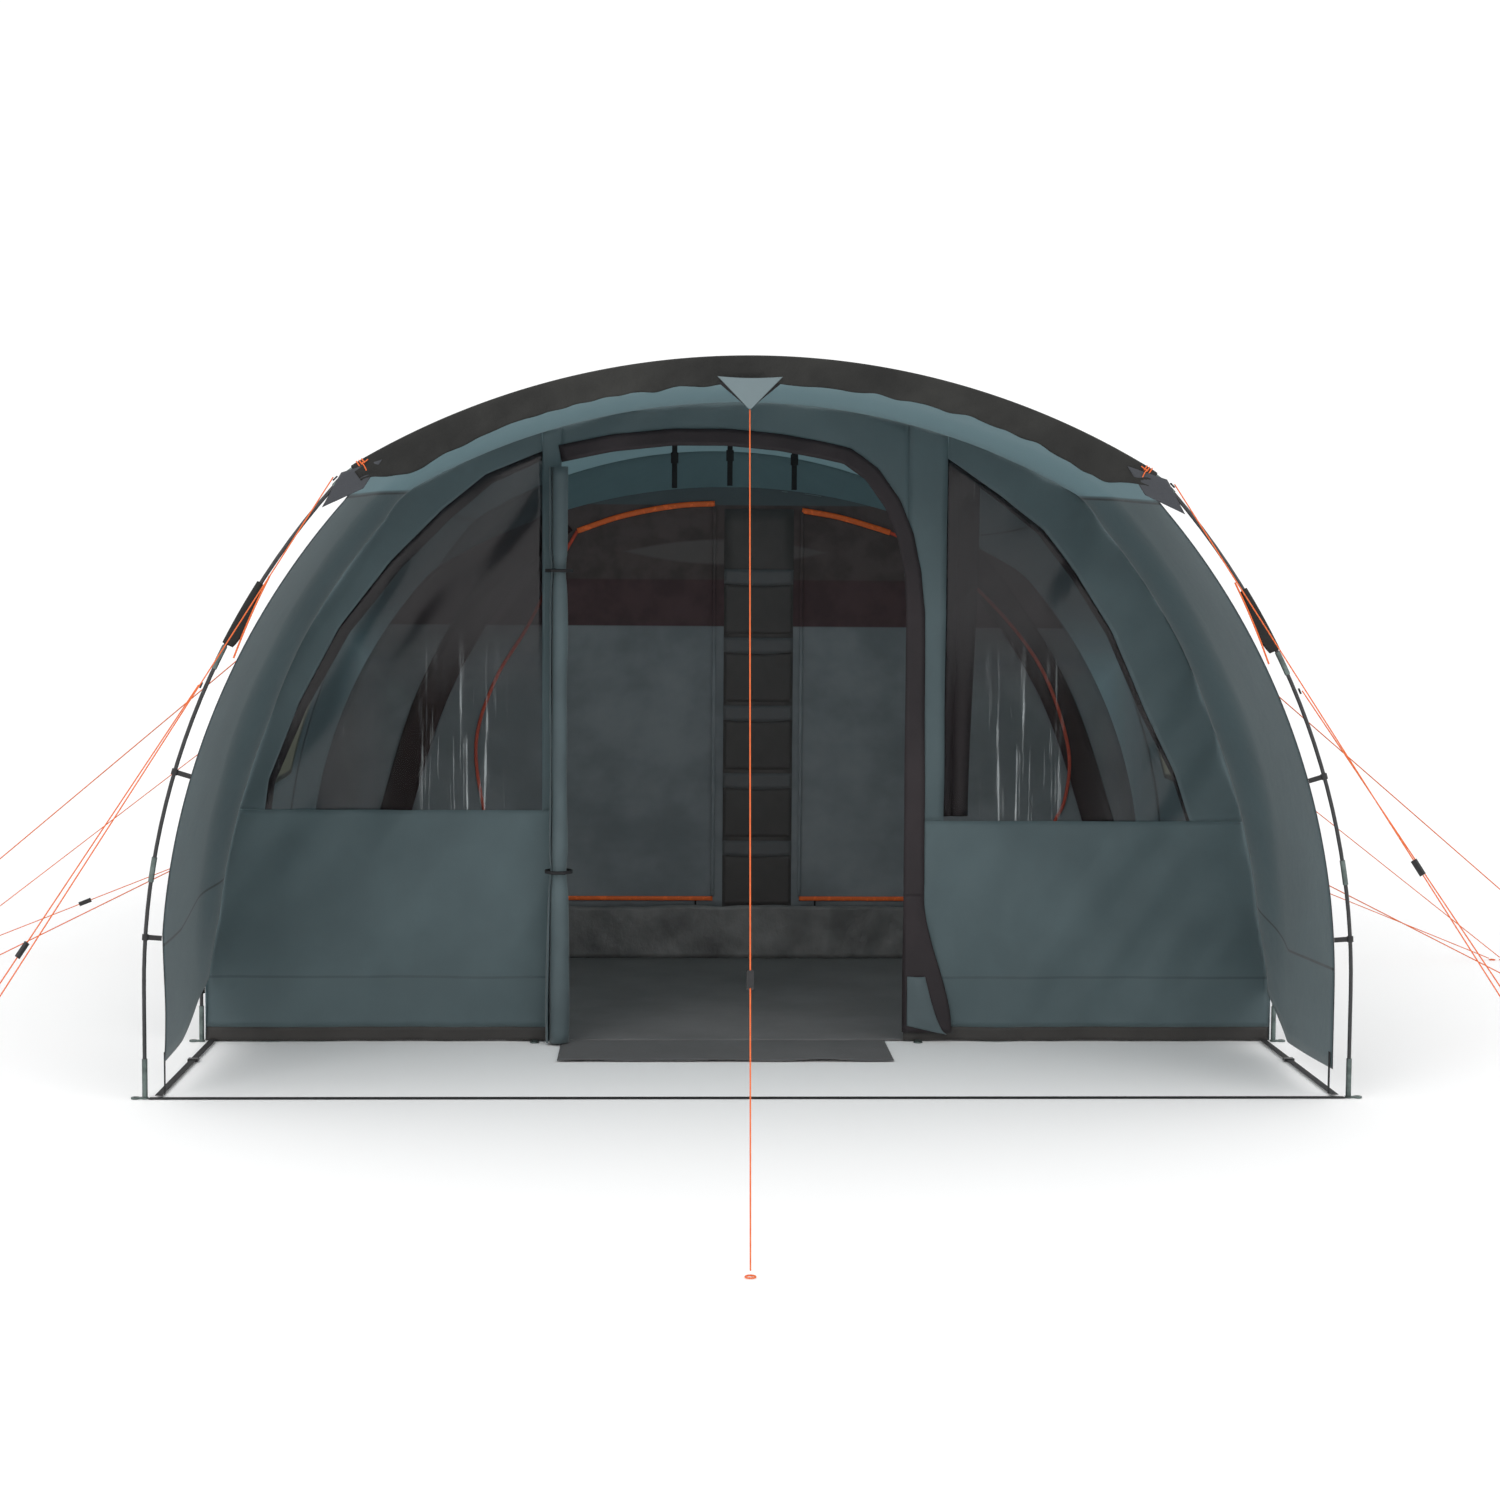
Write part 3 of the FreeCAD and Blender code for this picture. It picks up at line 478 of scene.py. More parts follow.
def cord_finish(name, colour, fleck):
    """Braided cord: crossed strands and a paler fleck."""
    finish = Finish(name)
    x, y, z = finish.axes(finish.place())
    turn = 2 * math.pi / 0.004
    strand = ((x + z) * turn).sine() * ((y - z) * turn).sine()
    fuzz = finish.clouds(finish.place(), 240.0, 2.0)
    finish.shade(Base_Color=finish.colours(colour, fleck, (strand * 0.5 + fuzz * 0.4).step(0.2, 0.75)),
                 Normal=finish.bump(strand, 0.0004, 0.7), Roughness=0.6 + 0.2 * fuzz)
    return finish.material


# painted glare: distance from the middle of the pale glare streaks on the front windows
PAINTED_GLARE_X = 0.87


def clear_finish():
    """Soft clear sheet: smoky net behind its upper half, painted glare as pale upright streaks near each post
    below it, and faint painted glints all over.
    """
    finish = Finish("clear_sheet")
    flat = finish.place("UV")
    x, _, z = finish.axes(finish.place())
    ripples = finish.clouds(finish.stretched(flat, (3.0, 0.8, 1.0)), 5.0, 4.0, 0.6)
    glare_streaks = finish.clouds(finish.stretched(flat, (34.0, 1.5, 1.0)), 1.4, 3.0, 0.7)
    low = z.step(1.30, 0.95)
    # painted glare: pale streaks painted into colour and opacity near each post under the net, and faint
    # painted glints over the ripples
    painted_glare_zone = (x.size() - PAINTED_GLARE_X).size().step(0.17, 0.05) * low
    net = z.step(1.00, 1.42).most(x.size().step(1.02, 1.28) * 0.75)
    painted_glint = glare_streaks.step(0.62, 0.76) * ripples.step(0.5, 0.62) * 0.3
    painted_glare = glare_streaks.step(0.52, 0.68) * painted_glare_zone + painted_glint
    finish.shade(Base_Color=finish.colours(rgb(34, 31, 34), rgb(222, 230, 232), painted_glare),
                 Alpha=0.05 + 0.60 * net + 0.40 * painted_glare, Roughness=0.14 + 0.10 * ripples,
                 Normal=finish.bump(ripples, 0.006, 0.3))
    return finish.material


def tinted_finish():
    """Olive blind let down behind each side window: dull, partly see-through."""
    finish = cloth_finish("side_window_blind", rgb(150, 154, 142), rgb(126, 130, 118), crease=0.004)
    finish.let_light_through(0.6, rgb(214, 218, 204))
    return finish.material


RED_NET_Z, BROWN_NET_Z, ROOF_CLOTH_Z = 1.250, 1.424, 1.702
# painted highlight: paler lens-shaped patch painted on the brown net
HIGHLIGHT_X, HIGHLIGHT_Z, HIGHLIGHT_HALF_WIDTH, HIGHLIGHT_HALF_HEIGHT = -0.013, 1.53, 0.37, 0.045


def inner_finish():
    """Bedroom front: grey cloth, a red-black net band, brown net with a painted highlight, and cloth under
    the roof.
    """
    finish = cloth_finish("bedroom_front", rgb(134, 139, 143), rgb(108, 114, 118), rough=0.75, crease=0.004)
    x, _, height = finish.axes(finish.place())
    cloth = finish.base()
    net = finish.clouds(finish.place(), 9.0, 3.0).step(0.35, 0.65)
    red = finish.colours(rgb(66, 45, 48), rgb(78, 55, 58), net)
    brown = finish.colours(rgb(68, 57, 56), rgb(84, 72, 71), net)
    # painted highlight: inside the lens shape the brown net is lightened
    across = (x - HIGHLIGHT_X) / HIGHLIGHT_HALF_WIDTH
    lens = (height - HIGHLIGHT_Z).size() + across * across * HIGHLIGHT_HALF_HEIGHT
    pale = lens.step(HIGHLIGHT_HALF_HEIGHT + 0.007, HIGHLIGHT_HALF_HEIGHT - 0.005)
    brown = finish.colours(brown, rgb(94, 87, 86), pale)
    lower = finish.colours(cloth, red, height.step(RED_NET_Z, RED_NET_Z + 0.006))
    upper = finish.colours(lower, brown, height.step(BROWN_NET_Z, BROWN_NET_Z + 0.006))
    top = height.step(ROOF_CLOTH_Z, ROOF_CLOTH_Z + 0.004)
    finish.shade(Base_Color=finish.colours(upper, rgb(76, 86, 90), top))
    return finish.material


# ---- making pieces ------------------------------------------------------------------
def deselect():
    bpy.ops.object.select_all(action="DESELECT")


def finished(piece, material, replaced=()):
    """Give a piece its material, the body it rides and what it stands for."""
    piece.data.materials.clear()
    piece.data.materials.append(material)
    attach(piece, TENT)
    if replaced:
        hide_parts(*replaced)


def grid_mesh(name, place, columns, rows):
    """Faces over place(u, v), their flat coordinates in metres as UV map, and the flat size."""
    points = [[place(i / columns, j / rows) for i in range(columns + 1)] for j in range(rows + 1)]
    widths = [0.0]
    row = points[rows // 2]
    for a, b in zip(row, row[1:]):
        widths.append(widths[-1] + (b - a).length)
    heights = [0.0]
    column = [line[columns // 2] for line in points]
    for a, b in zip(column, column[1:]):
        heights.append(heights[-1] + (b - a).length)
    mesh = bpy.data.meshes.new(name)
    stride = columns + 1
    faces = [(j * stride + i, j * stride + i + 1, (j + 1) * stride + i + 1, (j + 1) * stride + i)
             for j in range(rows) for i in range(columns)]
    mesh.from_pydata([p for line in points for p in line], [], faces)
    layer = mesh.uv_layers.new(name="flat")
    for loop in mesh.loops:
        j, i = divmod(loop.vertex_index, stride)
        layer.data[loop.index].uv = (widths[i], heights[j])
    piece = bpy.data.objects.new(name, mesh)
    bpy.context.scene.collection.objects.link(piece)
    return piece, (widths[-1], heights[-1])


def thicken(piece, thickness):
    solid = piece.modifiers.new("thickness", "SOLIDIFY")
    solid.thickness = thickness
    solid.offset = 0.0
    apply_all(piece)


def apply_all(piece):
    deselect()
    bpy.context.view_layer.objects.active = piece
    piece.select_set(True)
    for modifier in list(piece.modifiers):
        bpy.ops.object.modifier_apply(modifier=modifier.name)
    piece.select_set(False)


def smooth(mesh):
    for face in mesh.polygons:
        face.use_smooth = True


def sewn(piece, flat, material, slot, held="stretched", thickness=CLOTH, replaced=()):
    """Give one layer of cloth its thickness and finish, and work out its flat size."""
    area = sum(face.area for face in piece.data.polygons)
    thicken(piece, thickness)
    smooth(piece.data)
    finished(piece, material, replaced=replaced)
    width, length = max(flat[0], 0.01), max(flat[1], 0.01)
    share = area / (width * length)
    if share > 1.0:
        length = length * share
        share = 1.0
    share * width * length
    return piece


def cloth_piece(name, place, columns, rows, material, slot, **more):
    """One sewn sheet over the surface place(u, v)."""
    piece, flat = grid_mesh(name, place, columns, rows)
    return sewn(piece, flat, material, slot, **more)


def round_line(name, points, radius, fineness):
    """Round curve along one open line of points."""
    curve = bpy.data.curves.new(name, "CURVE")
    curve.dimensions = "3D"
    curve.bevel_depth = radius
    curve.bevel_resolution = fineness
    curve.use_fill_caps = True
    spline = curve.splines.new("NURBS")
    spline.points.add(len(points) - 1)
    for knot, place in zip(spline.points, points):
        knot.co = (*place, 1.0)
    spline.order_u = 3
    spline.use_endpoint_u = True
    piece = bpy.data.objects.new(name, curve)
    bpy.context.scene.collection.objects.link(piece)
    return piece


def orange_piece(name, points, radius, material):
    """Short solid bit of orange cord through a few points."""
    source = round_line(name + "_line", points, radius, 2)
    source.data.resolution_u = 6
    mesh = bpy.data.meshes.new_from_object(source.evaluated_get(bpy.context.evaluated_depsgraph_get()))
    bpy.data.objects.remove(source)
    piece = bpy.data.objects.new(name, mesh)
    bpy.context.scene.collection.objects.link(piece)
    smooth(mesh)
    finished(piece, material)


# ---- fly ----------------------------------------------------------------------------
BAY_SAG = 0.022
PORCH_SAG = 0.012
SCALLOP_DEPTH, SCALLOP_SPAN = 0.012, 0.46
TURN_IN_FROM = 0.62
# arc length from the ground up to each wing's hem, by share of the porch's depth
WING_LOW_LEFT = [(0.0, 0.100), (0.28, 0.108), (1.0, 0.200)]
WING_LOW_RIGHT = [(0.0, 0.080), (0.61, 0.055), (1.0, 0.160)]


def bay_drop(travel, share, sag, seed):
    """How far the fly hangs in from the poles between two arches."""
    hang = 4 * share * (1 - share)
    pull = ripple(travel, share, seed, 0.5, 0.6) * 0.006
    pull += ripple(travel, share, seed + 3, 0.16, 0.9) * 0.0022
    return hang * (sag + pull)


def porch_canopy(material):
    """Porch roof and wings: the wings hang in from the front arch, the rear edge turns in to the wall."""
    def place(u, v):
        start = along(WING_LOW_LEFT, v)
        stop = OUTER.length - along(WING_LOW_RIGHT, v)
        travel = mix(start, stop, u)
        from_top = abs(travel - OUTER.length / 2)
        flank = ease(from_top, ROOF_REACH - 0.16, ROOF_REACH + 0.05)
        edge = mix(FLY_DROP, WING_DROP, flank)
        scallop = SCALLOP_DEPTH * math.sin(math.pi * min(1.0, travel / SCALLOP_SPAN))
        drop = mix(edge, FLY_DROP, v) + bay_drop(travel, v, PORCH_SAG, 1.0) + scallop * (1 - v) * flank
        turned = (seam_inset(travel) - FLY_DROP) * ease(v, TURN_IN_FROM, 1.0) ** 1.5
        return OUTER.point(travel, mix(FRONT_Y + 0.002, DOOR_Y - 0.007, v ** 0.9), drop + turned)
    cloth_piece("porch_canopy_cloth", place, 180, 44, material, "blue_cloth", replaced=("porch_canopy",))


def living_spot(travel, y, inward=0.0):
    """Point on the living room's fly, or a little inside it."""
    share = (y - DOOR_Y) / (MIDDLE_Y - DOOR_Y)
    return OUTER.point(travel, y, FLY_DROP + bay_drop(travel, share, BAY_SAG, 5.0) + inward)


def living_fly(material):
    """Fly from the door arch to the middle arch, with an opening for each side window."""
    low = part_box("living_fly")[0][2]

    def place(u, v):
        return living_spot(mix(low, OUTER.length - low, u), mix(DOOR_Y, MIDDLE_Y - 0.001, v))
    columns, rows = 170, 48
    piece, flat = grid_mesh("living_fly_cloth", place, columns, rows)
    window_low, window_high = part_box("side_windows")
    foot = OUTER.travel_at(z=window_low[2], drop=FLY_DROP)
    head = OUTER.travel_at(z=window_high[2], drop=FLY_DROP)
    cut = bmesh.new()
    cut.from_mesh(piece.data)
    cut.faces.ensure_lookup_table()
    holes = []
    for face in cut.faces:
        row, column = divmod(face.index, columns)
        travel = mix(low, OUTER.length - low, (column + 0.5) / columns)
        y = mix(DOOR_Y, MIDDLE_Y, (row + 0.5) / rows)
        if window_low[1] < y < window_high[1] and foot < min(travel, OUTER.length - travel) < head:
            holes.append(face)
    bmesh.ops.delete(cut, geom=holes, context="FACES")
    cut.to_mesh(piece.data)
    cut.free()
    sewn(piece, flat, material, "blue_cloth", replaced=("living_fly",))


WINDOW_LAP = 0.035


def side_windows(material):
    """Window panel sewn behind each opening in the living room's fly."""
    low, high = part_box("side_windows")
    foot = OUTER.travel_at(z=low[2] - WINDOW_LAP, drop=FLY_DROP)
    head = OUTER.travel_at(z=high[2] + WINDOW_LAP, drop=FLY_DROP)
    for side, word in SIDES:
        def place(u, v, side=side):
            travel = mix(foot, head, v)
            if side > 0:
                travel = OUTER.length - travel
            return living_spot(travel, mix(low[1] - WINDOW_LAP, high[1] + WINDOW_LAP, u), 0.003)
        cloth_piece("side_window_" + word, place, 40, 40, material, "clear_sheet", replaced=("side_windows",))


def slant_y(z):
    """Y of the slanted rear wall at a height."""
    return REAR_HEM_Y - (REAR_HEM_Y - REAR_Y) * z / ARCH_HEIGHT


def bedroom_fly(material):
    """Fly from the middle arch over the rear arch to the slanted rear wall."""
    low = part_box("bedroom_fly")[0][2]

    def place(u, v):
        travel = mix(low, OUTER.length - low, u)
        z = OUTER.at(travel, FLY_DROP)[1]
        y = mix(MIDDLE_Y + 0.001, slant_y(z), v)
        share = (y - MIDDLE_Y) / (REAR_Y - MIDDLE_Y)
        sag = bay_drop(travel, min(1.0, max(0.0, share)), BAY_SAG, 9.0)
        return OUTER.point(travel, y, FLY_DROP + sag)
    cloth_piece("bedroom_fly_cloth", place, 150, 48, material, "blue_cloth", replaced=("bedroom_fly",))


def rear_wall(material):
    """Slanted wall that closes the tunnel, bulging in a little."""
    top = OUTER.height_at(0.0, FLY_DROP)

    def place(u, v):
        z = 0.003 + (top - 0.003) * math.sin(v * math.pi / 2)
        half = OUTER.half_width_at(z, FLY_DROP)
        x = mix(-half, half, u)
        bulge = 0.018 * (1 - (2 * u - 1) ** 2) * 4 * v * (1 - v) + ripple(x, z, 12, 0.22, 0.8) * 0.004 * v
        return Vector((x, slant_y(z) - 0.004 - bulge, z))
    cloth_piece("rear_wall_cloth", place, 80, 60, material, "blue_cloth", replaced=("rear_wall",))


# ---- front wall ---------------------------------------------------------------------
DOOR_LEFT, DOOR_RIGHT = -0.560, 0.500
DOOR_EAVE_Z, DOOR_SHOULDER_Z, DOOR_TOP_Z, DOOR_SPRING_Z = 1.783, 1.800, 1.838, 1.330
DOOR_SHOULDER_X = 0.230
DOOR_BEND_X = (0.492, 0.47, 0.43, 0.37, 0.30, 0.23, 0.10, -0.06, -0.22, -0.40, DOOR_LEFT)
WINDOW_IN = 0.618
WINDOW_SILL = {-1: 0.716, 1: 0.688}
# curved edge of each front window: distance from the middle and height, from the post down
WINDOW_LINE = {
    -1: [(WINDOW_IN, 1.812), (0.790, 1.740), (0.921, 1.634), (1.077, 1.478), (1.233, 1.276),
         (1.358, 1.042), (1.450, 0.808), (1.462, 0.716)],
    1: [(WINDOW_IN, 1.800), (0.780, 1.690), (0.912, 1.588), (1.022, 1.448), (1.131, 1.275),
        (1.240, 1.026), (1.334, 0.839), (1.386, 0.688)],
}
WALL_HEM_Z = 0.045


def window_top(side, x):
    line = WINDOW_LINE[side]
    return along(line, min(max(abs(x), WINDOW_IN), line[-1][0]))


def window_edge(side, share):
    """Distance from the middle and height at a share of the window's curved edge."""
    line = WINDOW_LINE[side]
    index, part = segment(line, share)
    a, b = Vector(line[index]), Vector(line[index + 1])
    return a.lerp(b, part), (b - a).normalized()


def door_top(x):
    """Height of the top edge of the door opening at X."""
    if x <= DOOR_SHOULDER_X:
        share = (x - DOOR_LEFT) / (DOOR_SHOULDER_X - DOOR_LEFT)
        eave = mix(DOOR_EAVE_Z, DOOR_SHOULDER_Z, share)
        rise = DOOR_TOP_Z - (DOOR_EAVE_Z + DOOR_SHOULDER_Z) / 2
        return eave + rise * 4 * share * (1 - share)
    share = (x - DOOR_SHOULDER_X) / (DOOR_RIGHT - DOOR_SHOULDER_X)
    return DOOR_SPRING_Z + (DOOR_SHOULDER_Z - DOOR_SPRING_Z) * math.sqrt(max(0.0, 1 - share ** 2)) ** 0.95


def wall_y(x, z, seed=20.0):
    """The wall's plane with its soft tension folds."""
    folds = ripple(x * 0.55 + z * 0.85, x * 0.85 - z * 0.55, seed, 0.50, 0.12) * 0.015
    slow = ripple(x, z, seed + 4, 0.5, 0.6) * 0.009
    return DOOR_Y + 0.001 + folds + slow


def wall_sheet(name, columns, rows, spot, material, slot="blue_cloth"):
    """Part of the front wall, in its plane, from spot(u, v) giving X and Z."""
    def place(u, v):
        x, z = spot(u, v)
        return Vector((x, wall_y(x, z), z))
    cloth_piece(name, place, columns, rows, material, slot, replaced=("front_wall",))


def front_wall(material, hem):
    """The wall's parts round the door and both windows, and the mud flap under its hem."""
    def lower(side, inner_x):
        def spot(u, v):
            z = mix(WALL_HEM_Z, WINDOW_SILL[side], v)
            return side * mix(abs(inner_x), seam_half_width(z), u), z
        return spot

    def flap(side, inner_x):
        def spot(u, v):
            return side * mix(abs(inner_x), seam_half_width(0.02), u), mix(0.003, WALL_HEM_Z, v)
        return spot

    def beside(side):
        def spot(u, v):
            x, z = seam_point(mix(seam_travel(z=WINDOW_SILL[side]), seam_travel(x=-WINDOW_IN), u))
            edge, _ = window_edge(side, 1 - u)
            return side * mix(edge.x, -x, v), mix(edge.y, z, v)
        return spot

    def post(side, inner_x):
        def spot(u, v):
            x = mix(abs(inner_x), WINDOW_IN, u)
            return side * x, mix(WINDOW_SILL[side], seam_height(x), v)
        return spot

    def header(u, v):
        x = mix(DOOR_LEFT, DOOR_RIGHT, u)
        return x, mix(door_top(x), seam_height(x), v)

    for (side, word), inner_x in zip(SIDES, (DOOR_LEFT, DOOR_RIGHT)):
        wall_sheet("wall_lower_" + word, 60, 36, lower(side, inner_x), material)
        wall_sheet("wall_beside_window_" + word, 90, 12, beside(side), material)
        wall_sheet("wall_post_" + word, 6, 60, post(side, inner_x), material)
        wall_sheet("mud_flap_" + word, 60, 4, flap(side, inner_x), hem, "floor_sheet")
    wall_sheet("wall_over_door", 60, 10, header, material)


def door_edge(share, grow):
    """X and Z on the door's dark edge, from the right foot up and over to the left eave."""
    line = [(DOOR_RIGHT, z) for z in (0.03, 0.70, DOOR_SPRING_Z)]
    line += [(x, door_top(x)) for x in DOOR_BEND_X]
    index, part = segment(line, share)
    a, b = Vector(line[index]), Vector(line[index + 1])
    before = Vector(line[max(0, index - 1)])
    after = Vector(line[min(len(line) - 1, index + 2)])
    heading = (b - before).lerp(after - a, part).normalized()
    return a.lerp(b, part) + Vector((heading.y, -heading.x)) * grow


def door_binding(material):
    """Dark zip band round the door; it widens into a loose flap at the right foot."""
    def place(u, v):
        width = 0.052 + 0.012 * ease(0.25 - u, 0.0, 0.2)
        spot = door_edge(u, width * v - 0.004)
        return Vector((spot.x, wall_y(spot.x, spot.y) - 0.004, spot.y))
    cloth_piece("door_zip_band", place, 110, 4, material, "dark_cloth", replaced=("door_binding",))


def door_foot_flap(band, lining):
    """Loose foot of the door's right edge: the band swings out and its lining curls over."""
    def spread(u, v):
        z = mix(0.030, 0.46, v)
        x = DOOR_RIGHT + mix(0.0, mix(0.150, 0.060, ease(v, 0.0, 1.0)), u)
        belly = 0.006 * math.sin(math.pi * u) - ripple(x, z, 26, 0.05, 0.1) * 0.004
        return Vector((x, DOOR_Y - 0.010 - belly, z))
    cloth_piece("door_foot_band", spread, 14, 30, band, "dark_cloth")

    def curl(u, v):
        z = mix(0.052, 0.205, v) - 0.028 * u * (1 - v)
        x = DOOR_RIGHT + 0.010 + mix(0.125, 0.055, v ** 0.6) * u
        y = DOOR_Y - 0.016 - 0.012 * math.sin(math.pi * (0.2 + 0.6 * v)) * math.sin(math.pi * u * 0.9)
        return Vector((x, y + ripple(x, z, 28, 0.03, 0.05) * 0.004, z))
    cloth_piece("door_foot_lining", curl, 20, 20, lining, "blue_cloth")


def front_windows(material):
    """Clear sheets that fill both window openings of the front wall."""
    for side, word in SIDES:
        def place(u, v, side=side):
            x = mix(WINDOW_IN, WINDOW_LINE[side][-1][0], u)
            z = mix(WINDOW_SILL[side], window_top(side, x), v)
            return Vector((side * x, wall_y(side * x, z) + 0.002, z))
        cloth_piece("front_window_" + word, place, 60, 60, material, "clear_sheet",
                    thickness=CLOTH / 2, replaced=("front_windows",))


def window_bindings(material):
    """Dark tape and rolled blind along each front window's curved edge."""
    for (side, word), width in zip(SIDES, (0.044, 0.022)):
        def place(u, v, side=side, width=width):
            edge, way = window_edge(side, u)
            wide = width * (0.45 + 0.55 * math.sin(math.pi * min(1.0, u + 0.12)))
            x = edge.x + way.y * wide * (v - 0.15)
            z = edge.y - way.x * wide * (v - 0.15)
            swell = 0.012 * math.sin(math.pi * v) + ripple(u, v, 31, 0.06, 0.5) * 0.002
            return Vector((side * x, DOOR_Y + 0.012 + swell, z))
        cloth_piece("window_blind_" + word, place, 70, 6, material, "dark_cloth")


def window_curtain(material):
    """Curtain gathered to one side of the right window."""
    low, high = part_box("window_curtain")

    def place(u, v):
        narrow = mix(0.80, 1.0, ease(v, 0.0, 0.9))
        x = low[0] + (high[0] - low[0]) * u * narrow
        z = mix(low[2], window_top(1, max(x, WINDOW_IN)) - 0.008, v)
        fold = abs(math.sin(u * 2 * math.pi + ripple(u, v, 40, 0.9, 0.8) * 0.3)) ** 0.6
        return Vector((x, high[1] - 0.003 - 0.019 * fold, z))
    cloth_piece("gathered_curtain", place, 60, 40, material, "dark_cloth", held="gathered",
                replaced=("window_curtain",))


DOOR_TIES_Z = (0.534, 1.450)
DOOR_ROLL_TURNS = 2.6


def rolled_door(material):
    """Door leaf rolled into a spiral along its left edge, fuller at the foot, nipped by its ties."""
    low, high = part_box("rolled_door")
    centre_x, centre_y = (low[0] + high[0]) / 2, (low[1] + high[1]) / 2

    def place(u, v):
        height = mix(low[2], high[2], v)
        full = mix((high[0] - low[0]) / 2, 0.030, ease(v, 0.0, 0.45))
        nip = 1 - 0.20 * max(math.exp(-((height - z) / 0.04) ** 2) for z in DOOR_TIES_Z)
        angle = u * DOOR_ROLL_TURNS * 2 * math.pi
        radius = full * nip * mix(0.35, 0.97, u) * (1 + 0.12 * ripple(angle, v, 50, 1.5, 0.12))
        return Vector((centre_x + math.cos(angle) * radius, centre_y + math.sin(angle) * radius, height))
    cloth_piece("rolled_door_leaf", place, 90, 60, material, "blue_cloth", held="gathered",
                replaced=("rolled_door",))


# ---- hood and sleeves ---------------------------------------------------------------
HOOD_START = SHOULDER_AT + 0.035


def round_pole(centre, out, angle, radius):
    """Point beside a pole: 0 degrees lies outward, 90 to the front."""
    angle = math.radians(angle)
    return centre + out * math.cos(angle) * radius - Vector((0, math.sin(angle) * radius, 0))


HOOD_OVER, SIDE_SLEEVE_OVER = 0.34, 0.45
HOOD_DEPTH, HOOD_TAPER = 0.068, 0.050


def hood(material):
    """Dark sleeve cloth over the front arch, hanging in as a wrinkled hood."""

    def place(u, v):
        travel = mix(HOOD_START, OUTER.length - HOOD_START, u)
        out = OUTER.out(travel)
        centre = OUTER.point(travel, FRONT_Y)
        if v < HOOD_OVER:
            return round_pole(centre, out, mix(-100, 90, v / HOOD_OVER), SLEEVE_R + 0.0005)
        hang = (v - HOOD_OVER) / (1 - HOOD_OVER)
        ends = 1 - abs(2 * u - 1)
        depth = HOOD_DEPTH + 0.020 * ease(0.45 - ends, 0.0, 0.4) + 0.008 * ripple(u, 0.0, 60, 0.03, 1.0)
        depth -= HOOD_TAPER * ease(0.12 - ends, 0.0, 0.12)
        folds = ripple(travel + hang * 0.09, hang, 61, 0.045, 0.7) * 0.010 * hang
        folds += ripple(travel - hang * 0.12, hang, 62, 0.13, 1.2) * 0.012 * hang
        return centre - out * hang * depth - Vector((0, SLEEVE_R + 0.001 + max(-0.004, folds) * 0.8, 0))
    cloth_piece("front_hood_cloth", place, 260, 18, material, "dark_cloth", replaced=("front_hood",))


CORNER_LOW = (Vector((-1.172, 1.612)), Vector((-1.060, 1.664)))
CORNER_HIGH = (Vector((-1.118, 1.706)), Vector((-1.008, 1.742)))


def hood_corners(material):
    """Reinforced cloth corner between the hood's end and each wing."""
    for side, word in SIDES:
        def place(u, v, side=side):
            x, z = CORNER_LOW[0].lerp(CORNER_LOW[1], u).lerp(CORNER_HIGH[0].lerp(CORNER_HIGH[1], u), v)
            y = FRONT_Y - 0.002 - (SLEEVE_R + 0.001) * ease(v, 0.0, 1.0) + ripple(u, v, 66, 0.3, 0.5) * 0.002
            return Vector((-side * x, y, z))
        cloth_piece("hood_corner_" + word, place, 14, 12, material, "dark_cloth")


def front_patch(material):
    """Pale triangle sewn to the middle of the hood, where the front guyline starts."""
    x, _, tip = FRONT_TIE
    half, top = 0.088, ARCH_HEIGHT - 0.048

    def place(u, v):
        spot_x = x + mix(-half, half, u) * mix(0.03, 1.0, v)
        sag = 0.004 * math.sin(math.pi * u) * v
        z = mix(tip, top, v) - sag
        return Vector((spot_x, FRONT_Y - SLEEVE_R - 0.014 + ripple(u, v, 67, 0.5, 0.4) * 0.001, z))
    cloth_piece("front_guy_patch", place, 24, 16, material, "blue_cloth")


KNOT_STEPS, KNOT_STEP_TURN, KNOT_STEP = 20, 0.95, 0.0012


def knots(material):
    """Orange cord wound round the pole at each end of the hood, with two short tails."""
    travel = HOOD_START + 0.030
    out = OUTER.out(travel)
    centre = OUTER.point(travel, FRONT_Y)
    way = Vector((out.z, 0, -out.x))
    reach = SLEEVE_R + 0.0025
    start = centre - Vector((0, reach + 0.001, 0))
    for side, word in SIDES:
        points = []
        for i in range(KNOT_STEPS):
            spot = round_pole(centre, out, math.degrees(i * KNOT_STEP_TURN), reach)
            points.append(on_side(side, spot + way * (KNOT_STEP * i - 0.012)))
        orange_piece("hood_knot_" + word, points, 0.0020, material)
        for number, (dx, dz) in enumerate(((0.016, 0.010), (0.012, -0.020))):
            tail = [start, start + Vector((dx * 0.6, -0.005, dz * 0.3)), start + Vector((dx, -0.003, dz))]
            tail = [on_side(side, spot) for spot in tail]
            orange_piece("hood_knot_tail_%s_%d" % (word, number + 1), tail, 0.0016, material)


PIPING_SPAN = (1.255, 1.500)
SIDE_SLEEVE_SPAN = (1.280, 1.470)


def sleeve_piping(material):
    """Orange line along the inner edge of each side sleeve."""
    for side, word in SIDES:
        points = []
        for i in range(7):
            travel = mix(*PIPING_SPAN, i / 6)
            points.append(on_side(side, OUTER.point(travel, FRONT_Y - 0.004, mix(0.036, 0.010, i / 6))))
        orange_piece("side_sleeve_piping_" + word, points, 0.0026, material)


SLEEVE_FOOT = 0.150


